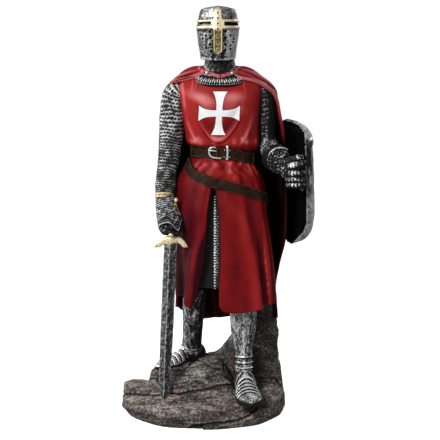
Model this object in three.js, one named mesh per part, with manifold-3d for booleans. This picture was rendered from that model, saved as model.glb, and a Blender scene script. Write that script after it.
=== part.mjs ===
import * as THREE from "three";
import { mergeVertices } from "three/addons/utils/BufferGeometryUtils.js";
import Module from "manifold-3d";

// A painted resin statuette of a standing medieval knight in great helm, mail, red surcoat and cape.
// The knight and the rock are one casting. The sword and the shield are castings of their own, held in
// the fists. Millimetres, +Z up, the knight faces -Y, the origin is the middle of the rock's underside.

const statueHeight = 300; // underside of the rock to the crown of the helm
const unit = statueHeight / 300; // pose, proportions and carving of the figure are counted in this

const rockLength = 121;
const rockDepth = 101;

const capeEdge = 2.6; // thickness of the cape where its edge shows
const skirtWall = 3.2; // thickness of the surcoat's skirt round its hollow underside
const skirtHollow = 12; // how far the underside is hollowed
const slitDepth = 5.5; // how deep the front slit is cut back to the mail

const beltWidth = 7.6;
const beltThickness = 1.6;
const buckleLength = 14.5;
const buckleBar = 1.6;

const bladeWidth = 9.4;
const bladeThickness = 3.2;
const bladePoint = 13; // length of the tapered point
const bladeSocket = 2.5; // how deep the point is let into the rock
const guardSpan = 25;
const guardHeight = 4.6;
const guardThickness = 4.4;
const gripRadius = 2.2;
const pommelRadius = 3.1;

const shieldWidth = 69;
const shieldHeight = 92;
const shieldThickness = 2.8;
const shieldBend = 33; // radius that the shield is bent round
const shieldRim = 5.5;
const rimHeight = 0.8;
const strapRadius = 1.6;

const clearance = 0.35; // glue gap between the castings

const degree = Math.PI / 180;
const wasm = await Module();
wasm.setup();

const lerp = THREE.MathUtils.lerp;
const rise = THREE.MathUtils.smoothstep;
const bump = (s) => Math.exp(-s * s);
const point = (x, y, z) => new THREE.Vector3(x, y, z).multiplyScalar(unit);

// Reads a table at any value of its first column: a smooth curve with no overshoot through its rows.
function table(rows) {
  const slope = (i, c) => (rows[i + 1][c] - rows[i][c]) / (rows[i + 1][0] - rows[i][0]);
  const tangent = (i, c) => {
    if (i === 0) return slope(0, c);
    if (i === rows.length - 1) return slope(i - 1, c);
    const [before, after] = [slope(i - 1, c), slope(i, c)];
    return before * after <= 0 ? 0 : (2 * before * after) / (before + after);
  };
  return (at) => {
    const rising = rows[1][0] > rows[0][0];
    let i = 0;
    while (i < rows.length - 2 && (rising ? at > rows[i + 1][0] : at < rows[i + 1][0])) i++;
    const span = rows[i + 1][0] - rows[i][0];
    const t = THREE.MathUtils.clamp((at - rows[i][0]) / span, 0, 1);
    const [t2, t3] = [t * t, t * t * t];
    return rows[i].slice(1).map((value, k) => {
      const c = k + 1;
      return (
        (2 * t3 - 3 * t2 + 1) * value +
        (t3 - 2 * t2 + t) * span * tangent(i, c) +
        (3 * t2 - 2 * t3) * rows[i + 1][c] +
        (t3 - t2) * span * tangent(i + 1, c)
      );
    });
  };
}

// A closed skin over rings of equal count. A fan closes each end, or, where the ring is a thin strip whose
// first side has the given number of points, a ladder between its two sides.
function loft(rings, side = 0) {
  const count = rings[0].length;
  const points = rings.flat();
  const faces = [];
  for (let i = 0; i + 1 < rings.length; i++) {
    for (let j = 0; j < count; j++) {
      const a = i * count + j;
      const b = i * count + ((j + 1) % count);
      faces.push([a, b, b + count], [a, b + count, a + count]);
    }
  }
  for (const [ring, start, flip] of [
    [rings[0], 0, true],
    [rings.at(-1), (rings.length - 1) * count, false],
  ]) {
    const end = side ? ladder(start, count, side) : fan(start, count, points.length);
    if (!side) points.push(ring.reduce((sum, p) => sum.add(p), new THREE.Vector3()).divideScalar(count));
    faces.push(...(flip ? end.map(([a, b, c]) => [a, c, b]) : end));
  }
  return solid(points, faces);
}

const fan = (start, count, middle) =>
  Array.from({ length: count }, (_, j) => [start + j, start + ((j + 1) % count), middle]);

function ladder(start, count, side) {
  const faces = [];
  const other = count - side;
  let [i, k] = [0, 0];
  while (i < side - 1 || k < other - 1) {
    const [a, b] = [start + i, start + count - 1 - k];
    if ((i + 1) * (other - 1) <= (k + 1) * (side - 1)) {
      faces.push([a, a + 1, b]);
      i++;
    } else {
      faces.push([a, b - 1, b]);
      k++;
    }
  }
  return faces;
}

function solid(points, faces) {
  const volume = faces.reduce(
    (sum, [a, b, c]) => sum + points[a].dot(points[b].clone().cross(points[c])),
    0,
  );
  const turned = volume < 0 ? faces.map(([a, b, c]) => [a, c, b]) : faces;
  return new wasm.Manifold(
    new wasm.Mesh({
      numProp: 3,
      vertProperties: new Float32Array(points.flatMap((p) => p.toArray())),
      triVerts: new Uint32Array(turned.flat()),
    }),
  );
}

function fromGeometry(geometry) {
  const bare = geometry.clone();
  bare.deleteAttribute("normal");
  bare.deleteAttribute("uv");
  const merged = mergeVertices(bare, 1e-4);
  const position = merged.attributes.position;
  const points = Array.from({ length: position.count }, (_, i) =>
    new THREE.Vector3().fromBufferAttribute(position, i),
  );
  const index = Array.from(merged.index.array);
  const faces = [];
  for (let i = 0; i < index.length; i += 3) {
    const [a, b, c] = index.slice(i, i + 3);
    if (a !== b && b !== c && a !== c) faces.push([a, b, c]);
  }
  return solid(points, faces);
}

const join = (solids) => solids.reduce((all, next) => all.add(next));

// A limb through stations [x, y, z, half width, half depth], with its own outline in each section.
function limb(stations, sides, steps, outline = () => 1) {
  const path = new THREE.CatmullRomCurve3(stations.map(([x, y, z]) => point(x, y, z)));
  const sizes = table(stations.map((s, i) => [i / (stations.length - 1), s[3], s[4]]));
  const rings = [];
  for (let i = 0; i <= steps; i++) {
    const t = i / steps;
    const centre = path.getPoint(t);
    const along = path.getTangent(t);
    const front = new THREE.Vector3(0, -1, 0).addScaledVector(along, along.y).normalize();
    const side = new THREE.Vector3().crossVectors(front, along).normalize();
    const [wide, deep] = sizes(t);
    rings.push(
      Array.from({ length: sides }, (_, j) => {
        const angle = (j / sides) * 2 * Math.PI;
        const grow = outline(angle, t) * unit;
        return centre
          .clone()
          .addScaledVector(side, Math.cos(angle) * wide * grow)
          .addScaledVector(front, Math.sin(angle) * deep * grow);
      }),
    );
  }
  return loft(rings);
}

const rounded = (value, power) => Math.sign(value) * Math.abs(value) ** (2 / power);

// Surcoat: rows of [height, middle x, middle y, half width, half depth].
const surcoatRows = table([
  [254, 12, 1, 11, 9],
  [250.5, 12, 1, 23, 11.5],
  [246, 12, 0.5, 29, 14],
  [240, 12, -0.5, 30.6, 15.6],
  [230, 12.2, -1, 29, 17.2],
  [218, 12.6, -1, 27.4, 17],
  [208, 13.4, -1, 26.6, 16.8],
  [203, 13.8, -1, 26, 16.6],
  [200, 14, -1, 24, 15.4],
  [198.6, 14, -1, 21.4, 13.6],
  [194, 14, -1, 21, 13.4],
  [189, 13.8, -1, 23.4, 15],
  [182, 13.2, -1, 27.6, 17.6],
  [172, 12.4, -1, 31.6, 20],
  [160, 12.4, -1.2, 33, 21.6],
  [130, 14, -1.8, 34, 24],
  [104, 15.6, -2.4, 34.6, 26.6],
  [78, 16.8, -3, 35, 29],
]);

// Long folds of the skirt: rows of [height, angle in degrees, half width in degrees, height of the ridge].
const skirtFolds = [
  [[190, -70, 5, 0.2], [163, -68, 7, 1.6], [139, -60, 7, 2.2], [111, -55, 8, 2.8], [80, -50, 9, 3.4]],
  [[190, -36, 5, 0.2], [157, -34, 6, 1.6], [126, -28, 6, 2.2], [80, -25, 6, 3]],
  [[190, -84, 5, 0.2], [165, -83, 6, 1.2], [139, -74, 6, 1.6], [118, -69, 6, 0.8], [100, -66, 6, 0]],
  [[180, -104, 5, 0.4], [168, -108, 7, 1.6], [133, -115, 9, 2.4], [115, -124, 10, 3.2], [80, -141, 12, 4.4]],
  [[180, -176, 9, 0.8], [160, -177, 10, 2], [120, -176, 10, 2.4], [80, -172, 11, 2.6]],
  [[150, -4, 6, 0.4], [120, -3, 7, 1.8], [80, -2, 8, 2.8]],
].map(table);

const chestRelief = (x, z) => {
  const breast = 1.3 * (bump((x - 1) / 11) + bump((x - 23) / 11)) * bump((z - 229) / 9);
  const swag = z - 203 - 16 * ((x - 11.7) / 14.7) ** 2;
  const reach = 1 - rise(Math.abs(x - 11.7), 11, 17);
  return breast + reach * (1.2 * bump(swag / 2.6) - 1.1 * bump((swag - 9) / 6));
};

function surcoatPoint(z, angle, inset = 0) {
  const turn = angle * degree;
  const sag = 4.5 * rise(Math.cos(turn), 0, 0.8) * bump((z - 194) / 14);
  const [x, y, wide, deep] = surcoatRows(z + sag);
  const base = [x + wide * rounded(Math.cos(turn), 2.35), y + deep * rounded(Math.sin(turn), 2.35)];
  let out = -inset;
  if (z > 198.6 && Math.sin(turn) < 0) out += chestRelief(base[0], z) * -Math.sin(turn);
  if (z < 190) {
    for (const fold of skirtFolds) {
      const [middle, width, ridge] = fold(z);
      const away = ((((angle - middle) % 360) + 540) % 360) - 180;
      out += ridge * bump(away / width) - 0.35 * ridge * bump((Math.abs(away) - 1.9 * width) / width);
    }
    const gather = rise(z, 168, 176) * (1 - rise(z, 188, 192)) * rise(-Math.sin(turn), 0, 0.4);
    out += 0.7 * gather * Math.cos(angle * degree * 15);
  }
  const outward = new THREE.Vector2(Math.cos(turn) / wide, Math.sin(turn) / deep).normalize();
  return point(base[0] + outward.x * out, base[1] + outward.y * out, z);
}

// The hem dips at the front and lifts over the right shin.
const hemHeight = (angle) => {
  const away = ((((angle + 90) % 360) + 540) % 360) - 180;
  return 84 - 3 * bump((away - 12) / 22) + 6 * rise(-away, 45, 75) + 1.2 * bump((away - 62) / 14);
};

// Angles round the body, close together at the front and wider under the cape.
const around = Array.from({ length: 25 }, (_, i) => 184 + i * 7.2).concat([20, 55, 90, 125, 158]);

function surcoat() {
  const heights = [254, 250.5, 245, 236, 228, 220, 212, 204.5, 200, 198.6, 189, 181, 168];
  const rings = heights.map((z) => around.map((angle) => surcoatPoint(z, angle)));
  const drops = 4;
  for (let i = 1; i <= drops; i++) {
    rings.push(around.map((angle) => surcoatPoint(lerp(168, hemHeight(angle), i / drops), angle)));
  }
  return loft(rings);
}

// The hollow under the skirt, and the slit that opens its front over the mail.
function underSkirt() {
  const sides = 24;
  const rings = [70, 84, 84 + skirtHollow / unit].map((z, i) =>
    Array.from({ length: sides }, (_, j) =>
      surcoatPoint(Math.max(z, 80), (j / sides) * 360, (skirtWall / unit) * (1 + 0.4 * i)).setZ(z * unit),
    ),
  );
  return loft(rings);
}

const slitRight = -100;
const slitLeft = table([[174, -100.5], [150, -105], [120, -113], [93, -121], [70, -126]]);

function frontSlit() {
  const rings = [173, 150, 120, 93, 70].map((z) => {
    const corner = (angle, inset) => surcoatPoint(Math.max(z, 80), angle, inset).setZ(z * unit);
    const [left] = slitLeft(z);
    return [
      corner(slitRight, -9),
      corner(slitRight, slitDepth / unit),
      corner(left, slitDepth / unit),
      corner(left, -9),
    ];
  });
  return loft(rings);
}

// Cape: rows of [share of the fall, middle x, middle y, half width, half depth, height,
// angle of the edge over the left arm, angle of the edge behind the right arm].
const capeRows = table([
  [0, 11.5, 1.5, 12.4, 10.5, 256.5, -52, 232],
  [0.05, 11.5, 1.5, 18, 12.5, 254.5, -46, 222],
  [0.1, 11.4, 2, 26, 15, 251.5, -38, 220],
  [0.16, 11.6, 2.5, 34.6, 18, 246, -31, 196],
  [0.22, 12.3, 3, 40.5, 20, 237, -20, 178],
  [0.3, 13, 3.5, 42.6, 22, 224, -9, 168],
  [0.4, 14.4, 4, 44.6, 24, 203, -3, 163],
  [0.55, 16, 4.5, 45, 26, 170, 0, 162],
  [0.72, 18, 4.5, 43, 28, 132, 1, 161],
  [0.82, 16.6, 4.5, 39.6, 29.5, 109, 4, 162],
  [0.9, 15.8, 4.5, 38, 31, 91, 6, 162],
  [1, 16.2, 4.5, 39.5, 33, 67, 10, 162],
]);

function capePoint(fall, share, inset = 0) {
  const [x, y, wide, deep, z, from, to] = capeRows(fall);
  const angle = lerp(from, to, share);
  const turn = angle * degree;
  const spread = rise(fall, 0.12, 0.9);
  const fold =
    spread *
    (2.7 * Math.cos(angle * degree * 6.4 + 0.9) + 0.8 * Math.cos(angle * degree * 13 + 2)) *
    rise(share, 0.02, 0.2) *
    (1 - rise(share, 0.86, 0.99));
  const shoulder = 1.1 * bump((fall - 0.13) / 0.08) * Math.cos(angle * degree * 9);
  const out = fold + shoulder - inset;
  const lift = 2.5 * bump((fall - 0.07) / 0.06) * Math.abs(Math.cos(turn));
  const hem = rise(fall, 0.8, 1) * (3 * Math.cos(angle * degree * 3.4) - 7 * rise(share, 0.8, 1));
  const outward = new THREE.Vector2(Math.cos(turn) / wide, Math.sin(turn) / deep).normalize();
  return point(
    x + wide * Math.cos(turn) + outward.x * out,
    y + deep * Math.sin(turn) + outward.y * out,
    z + lift - hem,
  );
}

function cape() {
  const falls = [0, 0.06, 0.11, 0.16, 0.22, 0.3, 0.42, 0.56, 0.7, 0.85, 1];
  const across = 24;
  const rings = falls.map((fall) => {
    const halfDepth = capeRows(fall)[3];
    const filled = lerp(Math.min(20, 0.8 * halfDepth), capeEdge / unit, rise(fall, 0.68, 0.84));
    const outer = Array.from({ length: across + 1 }, (_, j) => capePoint(fall, j / across));
    const back = across / 2;
    const inner = Array.from({ length: back + 1 }, (_, j) => {
      const share = 1 - j / back;
      const margin = lerp(0.01, 0.22, rise(fall, 0.12, 0.4));
      const inside = rise(share, 0, margin) * (1 - rise(share, 1 - margin, 1));
      return capePoint(fall, share, lerp(capeEdge / unit, filled, inside));
    });
    return [...outer, ...inner];
  });
  return loft(rings, across + 1);
}

// Great helm: rows of [height, radius], read from the neck rim up to the crown.
const helm = { x: 10.5, y: -1.5, long: 1.1 };
const helmRows = [
  [262, 12.4], [268, 13.3], [276, 14.5], [283.3, 15.4], [283.6, 15.9],
  [290, 15], [290.3, 14.2], [296.6, 12.2], [297.8, 11], [300, 0],
];

function helmet() {
  const profile = [[262, 0], ...helmRows].map(([z, r]) => new THREE.Vector2(r * unit, z * unit));
  const shell = new THREE.LatheGeometry(profile, 20);
  shell.rotateX(Math.PI / 2).scale(1, helm.long, 1);
  const position = shell.attributes.position;
  for (let i = 0; i < position.count; i++) {
    const front = Math.max(0, -position.getY(i) / (16 * unit));
    const lift = rise(position.getZ(i) / unit, 266, 284) - 0.7;
    position.setZ(i, position.getZ(i) + lift * 1.6 * unit * front ** 2);
  }
  shell.translate(helm.x * unit, helm.y * unit, 0);
  const slot = (side) => {
    const cut = new THREE.BoxGeometry(9.6 * unit, 6 * unit, 3.2 * unit);
    cut.translate(side * 8.8 * unit, 0, 0).rotateZ(side * 0.42);
    cut.translate(helm.x * unit, (helm.y - 15.4) * unit, 287.4 * unit);
    return fromGeometry(cut);
  };
  const bar = helmetBar();
  return fromGeometry(shell).add(bar).subtract(slot(-1)).subtract(slot(1));
}

// The upright bar of the helm's cross, pointed at both ends and bent over the face.
function helmetBar() {
  const rows = table([
    [265.4, 0.3, 14.6], [268, 2.7, 15], [276, 2.8, 16.2], [283, 2.9, 17.3], [285, 5.6, 17.6],
    [289.5, 5.6, 17], [291.5, 2.8, 16.3], [296.5, 2.6, 13.9], [298.8, 0.3, 8],
  ]);
  const heights = [265.4, 268, 276, 283, 285, 289.5, 291.5, 296.5, 298.8];
  const rings = heights.map((z) => {
    const [half, reach] = rows(z);
    return [[-half, 3], [-half, 0], [half, 0], [half, 3]].map(([x, inward]) =>
      point(helm.x + x, helm.y - reach * helm.long + 0.1 + inward + 0.02 * x * x, z + 0.6),
    );
  });
  return loft(rings);
}

// Mail hood round the neck, spreading to the collar that lies on the surcoat. Each row is the height at
// the front, the climb to the sides, the middle y, the half width, the half depth and the squareness.
function coif() {
  const rows = [
    [266, 0, 0, 9.6, 9.6, 2], [254.5, 0, -0.5, 11.6, 11.2, 2], [249.5, 3, -1.5, 15, 13.2, 2.5],
    [244.8, 9, -2.4, 18.2, 14.9, 3], [243.4, 9.4, -2.5, 17.8, 14.2, 3], [241.5, 9, -2, 14, 12, 3],
  ];
  const sides = 18;
  return loft(
    rows.map(([z, climb, y, wide, deep, power]) =>
      Array.from({ length: sides }, (_, j) => {
        const turn = (j / sides) * 2 * Math.PI;
        const [x, front] = [rounded(Math.cos(turn), power), rounded(Math.sin(turn), power)];
        return point(11.8 + wide * x, y + deep * front, z + climb * (1 - Math.max(0, -Math.sin(turn))));
      }),
    ),
  );
}

// Rolled band of the cape across the throat.
function throatBand() {
  const curve = new THREE.CatmullRomCurve3(
    [[-3, -3, 255], [2.6, -10.5, 251.8], [11.6, -14, 249.6], [20.6, -10.5, 251.8], [26, -3, 255]]
      .map((p) => point(...p)),
  );
  const section = new THREE.Shape().absellipse(0, 0, 1.5 * unit, 1.5 * unit, 0, 2 * Math.PI);
  return fromGeometry(
    new THREE.ExtrudeGeometry(section, { steps: 8, curveSegments: 3, extrudePath: curve }),
  );
}

// A belt is a band that follows the surcoat: rows of [angle, height of its middle].
function belt(course) {
  const rings = [];
  for (const angle of around) {
    const [middle] = course(angle % 360);
    const half = beltWidth / 2 / unit;
    const thick = beltThickness / unit;
    rings.push([
      surcoatPoint(middle + half, angle, 3),
      surcoatPoint(middle + half, angle, -thick),
      surcoatPoint(middle - half, angle, -thick),
      surcoatPoint(middle - half, angle, 3),
    ].map((p, k) => p.setZ((middle + (k === 0 || k === 1 ? half : -half)) * unit)));
  }
  return closedBand(rings);
}

function closedBand(rings) {
  const count = rings[0].length;
  const faces = [];
  for (let i = 0; i < rings.length; i++) {
    for (let j = 0; j < count; j++) {
      const a = i * count + j;
      const b = i * count + ((j + 1) % count);
      const c = ((i + 1) % rings.length) * count + ((j + 1) % count);
      const d = ((i + 1) % rings.length) * count + j;
      faces.push([a, b, c], [a, c, d]);
    }
  }
  return solid(rings.flat(), faces);
}

const waistCourse = table([
  [0, 191], [60, 195], [120, 197], [180, 196], [270, 195.4], [330, 190.6], [360, 191],
]);
const hipCourse = table([
  [0, 161], [60, 168], [120, 183], [170, 187.5], [195, 186], [225, 181], [250, 176.6], [275, 172.4],
  [300, 168.6], [330, 163.6], [360, 161],
]);

function buckle() {
  const frame = new THREE.Shape();
  const [half, tall] = [buckleLength / 2, beltWidth / 2 + 0.9 * unit];
  const [square, round] = [3 * unit - half, 0.6 * unit];
  frame.moveTo(square, -tall).lineTo(half, -tall).lineTo(half, tall).lineTo(square, tall);
  frame.quadraticCurveTo(-half, tall, -half, 0).quadraticCurveTo(-half, -tall, square, -tall);
  const hole = new THREE.Path();
  const [inner, low] = [half - buckleBar, tall - buckleBar];
  hole.moveTo(square + round, -low).lineTo(inner - round, -low).lineTo(inner - round, low);
  hole.lineTo(square + round, low);
  hole.quadraticCurveTo(-inner, low, -inner, 0).quadraticCurveTo(-inner, -low, square + round, -low);
  frame.holes.push(hole);
  const depth = 2.6 * unit;
  const plate = new THREE.ExtrudeGeometry(frame, { depth, bevelEnabled: false, curveSegments: 3 });
  plate.rotateX(Math.PI / 2);
  const seat = surcoatPoint(195.2, 270);
  plate.translate(11.3 * unit, seat.y - beltThickness + 1.6 * unit, seat.z);
  return fromGeometry(plate);
}

// Arms in mail.
const rightArm = [
  [-11, 3, 240, 7, 7], [-19.6, 2.4, 236.4, 9, 9], [-22.4, 1.4, 222, 8.9, 8.8], [-23.6, 0.5, 206, 8.3, 8.2],
  [-24.8, -1, 194, 7.6, 7.6], [-26.6, -4.6, 181, 6.8, 6.8], [-27.8, -7.6, 171, 7, 6.9],
  [-28.6, -9.6, 163.5, 6.1, 6], [-28.4, -11, 158, 5.4, 5.4],
];
const leftUpperArm = [
  [38, 3, 241, 8, 8], [42.3, 2.6, 236, 8.6, 8.6], [44, 2.6, 222, 7.6, 7.8], [45, 3, 208, 7, 7.2],
  [46.4, 1.6, 200, 7.2, 7.2], [48.5, -2, 196, 6.8, 6.8],
];
const leftForearm = [
  [45.6, 3, 201, 6.6, 6.6], [49, -4, 196, 6.8, 6.8], [52.4, -10, 191.8, 6.6, 6.6],
  [56, -15, 188.4, 5.4, 5.4],
];

const leftCuff = [
  [50.6, -8, 193, 9, 9], [52.2, -10.6, 191.3, 9.5, 9.5], [54, -13, 189.6, 8.4, 8.4], [57.4, -17, 187.2, 6, 6],
];

// Where the sword's hilt and the shield's grip pass through the fists.
const hiltLow = point(-23.4, -20, 134.4);
const hiltTop = point(-19.9, -18, 159);
const swordPoint = point(-28.6, -30, 18.6);
const gripMiddle = point(68.8, -21.5, 180);

function finger(path, radius) {
  return limb(path.map(([x, y, z]) => [x, y, z, radius, radius]), 6, 3);
}

function rightHand() {
  const palm = limb(
    [
      [-28.4, -11, 160, 5.8, 5.6], [-27.4, -12.6, 153, 6.4, 5.6], [-26.4, -14.4, 147, 6.8, 5.8],
      [-25.6, -16, 141, 6.4, 5.6], [-25, -17.2, 137, 4.8, 4.6], [-24.8, -17.8, 135.2, 2.2, 2.4],
    ],
    9,
    5,
  );
  const fingers = [0, 1, 2, 3].map((i) => {
    const z = 151 - i * 4.1;
    const x = -24.8 + i * 0.3;
    const y = -16.4 - i * 1.2;
    return finger(
      [[x - 5.8, y, z], [x - 4.2, y - 5.4, z - 0.6], [x + 1.6, y - 7.2, z - 1.4], [x + 5.8, y - 4.4, z - 2]],
      2.4 - 0.12 * i,
    );
  });
  const thumb = finger([[-22, -13.4, 155], [-17.4, -16, 149.6], [-16, -18, 144], [-17.4, -20, 139.4]], 2.6);
  return join([palm, ...fingers, thumb]);
}

function leftHand() {
  const [x, y, z] = gripMiddle.clone().divideScalar(unit).toArray();
  const palm = limb(
    [
      [x - 12.6, y + 5, z + 7.4, 5.2, 5.2], [x - 9, y + 1.8, z + 4.6, 6, 6.4],
      [x - 5.4, y - 0.6, z + 1.6, 5.8, 8.2], [x - 1.8, y - 1, z, 5.4, 8.6],
      [x + 1.6, y - 0.8, z - 0.4, 4.6, 8], [x + 4, y - 0.4, z - 0.4, 2.4, 6],
    ],
    9,
    6,
  );
  const fingers = [0, 1, 2, 3].map((i) => {
    const drop = z + 7 - i * 4.5;
    return finger(
      [
        [x - 7.2 + 0.4 * i, y - 2.4, drop + 0.4], [x - 4.6, y - 5.6, drop - 0.2],
        [x + 0.6, y - 6.2, drop - 0.6], [x + 3.8, y - 3.4, drop - 0.4], [x + 3.8, y + 1, drop],
      ],
      2.45 - 0.1 * i,
    );
  });
  const thumb = finger(
    [[x - 8.6, y - 2.6, z + 8.6], [x - 4.4, y - 4.8, z + 10.6], [x + 1.6, y - 4.6, z + 10]],
    2.4,
  );
  return join([palm, ...fingers, thumb]);
}

// Greaves with a ridge down the shin, and the mail above the knees that runs up into the skirt.
const shinRidge = (heading) => (angle) => 1 + 0.07 * bump((angle / degree - heading) / 16);
const rightLeg = [
  [-3, -2, 112, 10, 10], [-5, -1, 96, 9, 9.4], [-7.4, 0, 82, 8, 8.8], [-8, 1, 68, 7.5, 8.4],
  [-8.6, 3, 56, 7.1, 7.6], [-9.2, 4.6, 48, 7.3, 7.3], [-9.4, 5, 44, 7.2, 7.4],
];
const leftLeg = [
  [26, -4, 112, 11, 11], [28, -6, 92, 10.4, 10.4], [29, -7.4, 78, 9.8, 10], [29, -8.2, 68, 9.4, 9.6],
  [29.2, -8.8, 57, 7.8, 8], [29.6, -9.4, 48, 6.2, 6.8], [29.8, -9.8, 40, 5.8, 6.4], [29.8, -10, 36, 6, 6.6],
];

// Armoured shoe: a sole line from heel to toe, with overlapping plates stepped along it.
function sabaton(heel, toe, floor, ankle, breadth) {
  const from = new THREE.Vector2(...heel);
  const to = new THREE.Vector2(...toe);
  const along = to.clone().sub(from);
  const across = new THREE.Vector2(-along.y, along.x).normalize();
  const profile = table([
    [0, 4.6, ankle * 0.62], [0.1, 6.2, ankle * 0.95], [0.3, 6.6, ankle], [0.45, 7, ankle * 0.7],
    [0.62, 8, ankle * 0.52], [0.78, 7.8, ankle * 0.4], [0.9, 5.2, ankle * 0.3], [1, 0.8, ankle * 0.2],
  ]);
  const stops = [0, 0.08, 0.2, 0.4, 0.42, 0.52, 0.54, 0.64, 0.66, 0.76, 0.78, 0.9, 1];
  const rings = stops.map((t) => {
    const [half, tall] = profile(t);
    const step = 0.5 * ([0.42, 0.54, 0.66, 0.78].includes(t) ? 1 : 0);
    const middle = from.clone().addScaledVector(along, t);
    const wide = (half * breadth) / 8;
    const [low, high] = floor;
    const ground = lerp(low, high, t);
    const outline = [
      [-0.97, 0], [-1, 0.28], [-0.62, 0.82], [0, 1.02], [0.62, 0.82], [1, 0.28], [0.97, 0],
    ];
    return outline.map(([u, v]) =>
      point(
        middle.x + across.x * wide * u,
        middle.y + across.y * wide * u,
        ground + (tall - step) * v,
      ),
    );
  });
  return loft(rings);
}

// Rock: an oval of layered stone. The top is a height over the ground plan: a low front slab, the long
// ledge behind it, the block under the right foot, and the slope up to the standing stone at the right.
const ledgeLine = table([
  [-62, -8], [-57, -12], [-46.6, -21], [-28.7, -27], [-17.3, -27], [-4, -24], [10.5, -18], [26, -12],
]);
const frontLip = table([[-10, -51], [6, -43.5], [28, -37], [42, -27], [60, -16]]);

function rockTop(x, y) {
  const ripple = 0.7 * Math.sin(0.21 * x + 0.5 * y + 1) + 0.5 * Math.sin(0.47 * x - 0.23 * y);
  const low = 7.5 + 0.06 * (y + 40) + 0.4 * ripple;
  let front = 17.4 - 0.035 * x + 0.19 * (y + 29) - 0.16 * Math.max(0, -x - 30);
  front = Math.min(front, 21 + 0.06 * Math.min(x, 20)) + 0.35 * ripple;
  let z = lerp(low, front, rise(y - frontLip(x)[0], -1.5, 3));
  const ledge = 22 + 0.06 * Math.max(0, x + 30) + 0.12 * Math.max(0, -x - 32) + 0.5 * ripple;
  const falling = ledge - 0.26 * Math.max(0, y - 2);
  const open = 1 - rise(x, 20, 25) * (1 - rise(y, 2, 8));
  z = lerp(z, Math.max(z, falling), rise(y - ledgeLine(x)[0], -1, 2.5) * open);
  const block = 38.6 + 0.107 * (x + 18.5) + 0.073 * (y + 0.5) + 0.3 * ripple * rise(y, 8, 16);
  const right = 1 - rise(x, 9, 28) * (1 - rise(y, 4, 14));
  const back = 1 - 0.5 * rise(y, 17, 32) - 0.45 * rise(y, 32, 44);
  const left = rise(x - 1.15 * Math.max(0, y + 10), -40, lerp(-36, -24, rise(y, -10, 6)));
  z = lerp(z, Math.max(z, block), left * rise(y, -31, -11) * right * back);
  const slope = 1 - rise(Math.hypot((x - 40) / 25, (y - 18) / 20), 0.4, 1.3);
  z += 14 * slope * rise(y, -6, 6);
  const rightWall = 0.8 * rise(x, 30, 52) * rise(y, -16, 0);
  const leftSlab = 0.7 * rise(-x, 36, 50) * bump((y - 4) / 15);
  const edge = rise(Math.hypot(x / 60, y / 50), 0.88, 1.03) * (1 - Math.max(rightWall, leftSlab));
  return lerp(z, 11 + 0.3 * ripple, 0.8 * edge);
}

function rockReach(angle) {
  return (
    1 +
    0.012 * Math.sin(3 * angle + 1) +
    0.012 * Math.sin(5 * angle + 0.4) +
    0.012 * Math.sin(9 * angle + 2) +
    0.035 * bump((Math.abs(angle) - 3) / 0.16) -
    0.02 * bump(angle / 0.5)
  );
}

function rock() {
  const [columns, rows] = [16, 14];
  const points = [];
  const faces = [];
  const place = (u, v) => [
    (u * Math.sqrt(1 - (v * v) / 2) * rockLength) / 2,
    (v * Math.sqrt(1 - (u * u) / 2) * rockDepth) / 2,
  ];
  for (let j = 0; j <= rows; j++) {
    for (let i = 0; i <= columns; i++) {
      const [x, y] = place((2 * i) / columns - 1, (2 * j) / rows - 1);
      const grow = 0.975 * rockReach(Math.atan2(y, x));
      points.push(new THREE.Vector3(x * grow, y * grow, rockTop(x / unit, y / unit) * unit));
      if (i < columns && j < rows) {
        const a = j * (columns + 1) + i;
        const b = a + columns + 1;
        const halves = (i + j) % 2 ? [[a, a + 1, b + 1], [a, b + 1, b]] : [[a, a + 1, b], [a + 1, b + 1, b]];
        faces.push(...halves);
      }
    }
  }
  const border = [];
  for (let i = 0; i < columns; i++) border.push(i);
  for (let j = 0; j < rows; j++) border.push(j * (columns + 1) + columns);
  for (let i = columns; i > 0; i--) border.push(rows * (columns + 1) + i);
  for (let j = rows; j > 0; j--) border.push(j * (columns + 1));
  let above = border;
  for (const [height, grow] of [[7, 1.026], [0, 0.975]]) {
    const ring = border.map((k) => {
      const top = points[k];
      const angle = Math.atan2(top.y, top.x);
      const inset = height === 0 && top.x < 0 ? 0.95 : 1;
      const layer = height * (1 + 0.2 * Math.sin(2 * angle + 0.5) + 0.14 * Math.sin(5 * angle)) * unit;
      points.push(new THREE.Vector3(top.x * grow * inset, top.y * grow * inset, layer));
      return points.length - 1;
    });
    for (let k = 0; k < ring.length; k++) {
      const next = (k + 1) % ring.length;
      faces.push([above[k], ring[k], ring[next]], [above[k], ring[next], above[next]]);
    }
    above = ring;
  }
  points.push(new THREE.Vector3(0, 0, 0));
  for (let k = 0; k < above.length; k++) {
    faces.push([above[(k + 1) % above.length], above[k], points.length - 1]);
  }
  return solid(points, faces);
}

// The standing stone behind the left leg that carries the cape: rows of
// [height, x, y, half length, half depth].
const pillarRows = table([
  [12, 32, 13, 25, 20], [36, 31.6, 14, 24.8, 17.5], [46, 34.4, 14.5, 22.4, 15], [53, 38, 15, 17.8, 13],
  [64, 42, 17, 12, 12.4], [80, 43.4, 19, 9.4, 12],
]);

function pillar() {
  const sides = 12;
  const rings = [14, 36, 46, 53, 64, 80].map((z) => {
    const [x, y, long, deep] = pillarRows(z);
    return Array.from({ length: sides }, (_, j) => {
      const angle = (j / sides) * 2 * Math.PI;
      const reach = 1 + 0.07 * Math.sin(3 * angle + z / 9) + 0.05 * Math.sin(5 * angle + z / 5);
      return point(x + long * reach * Math.cos(angle), y + deep * reach * Math.sin(angle), z);
    });
  });
  return loft(rings);
}

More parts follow.
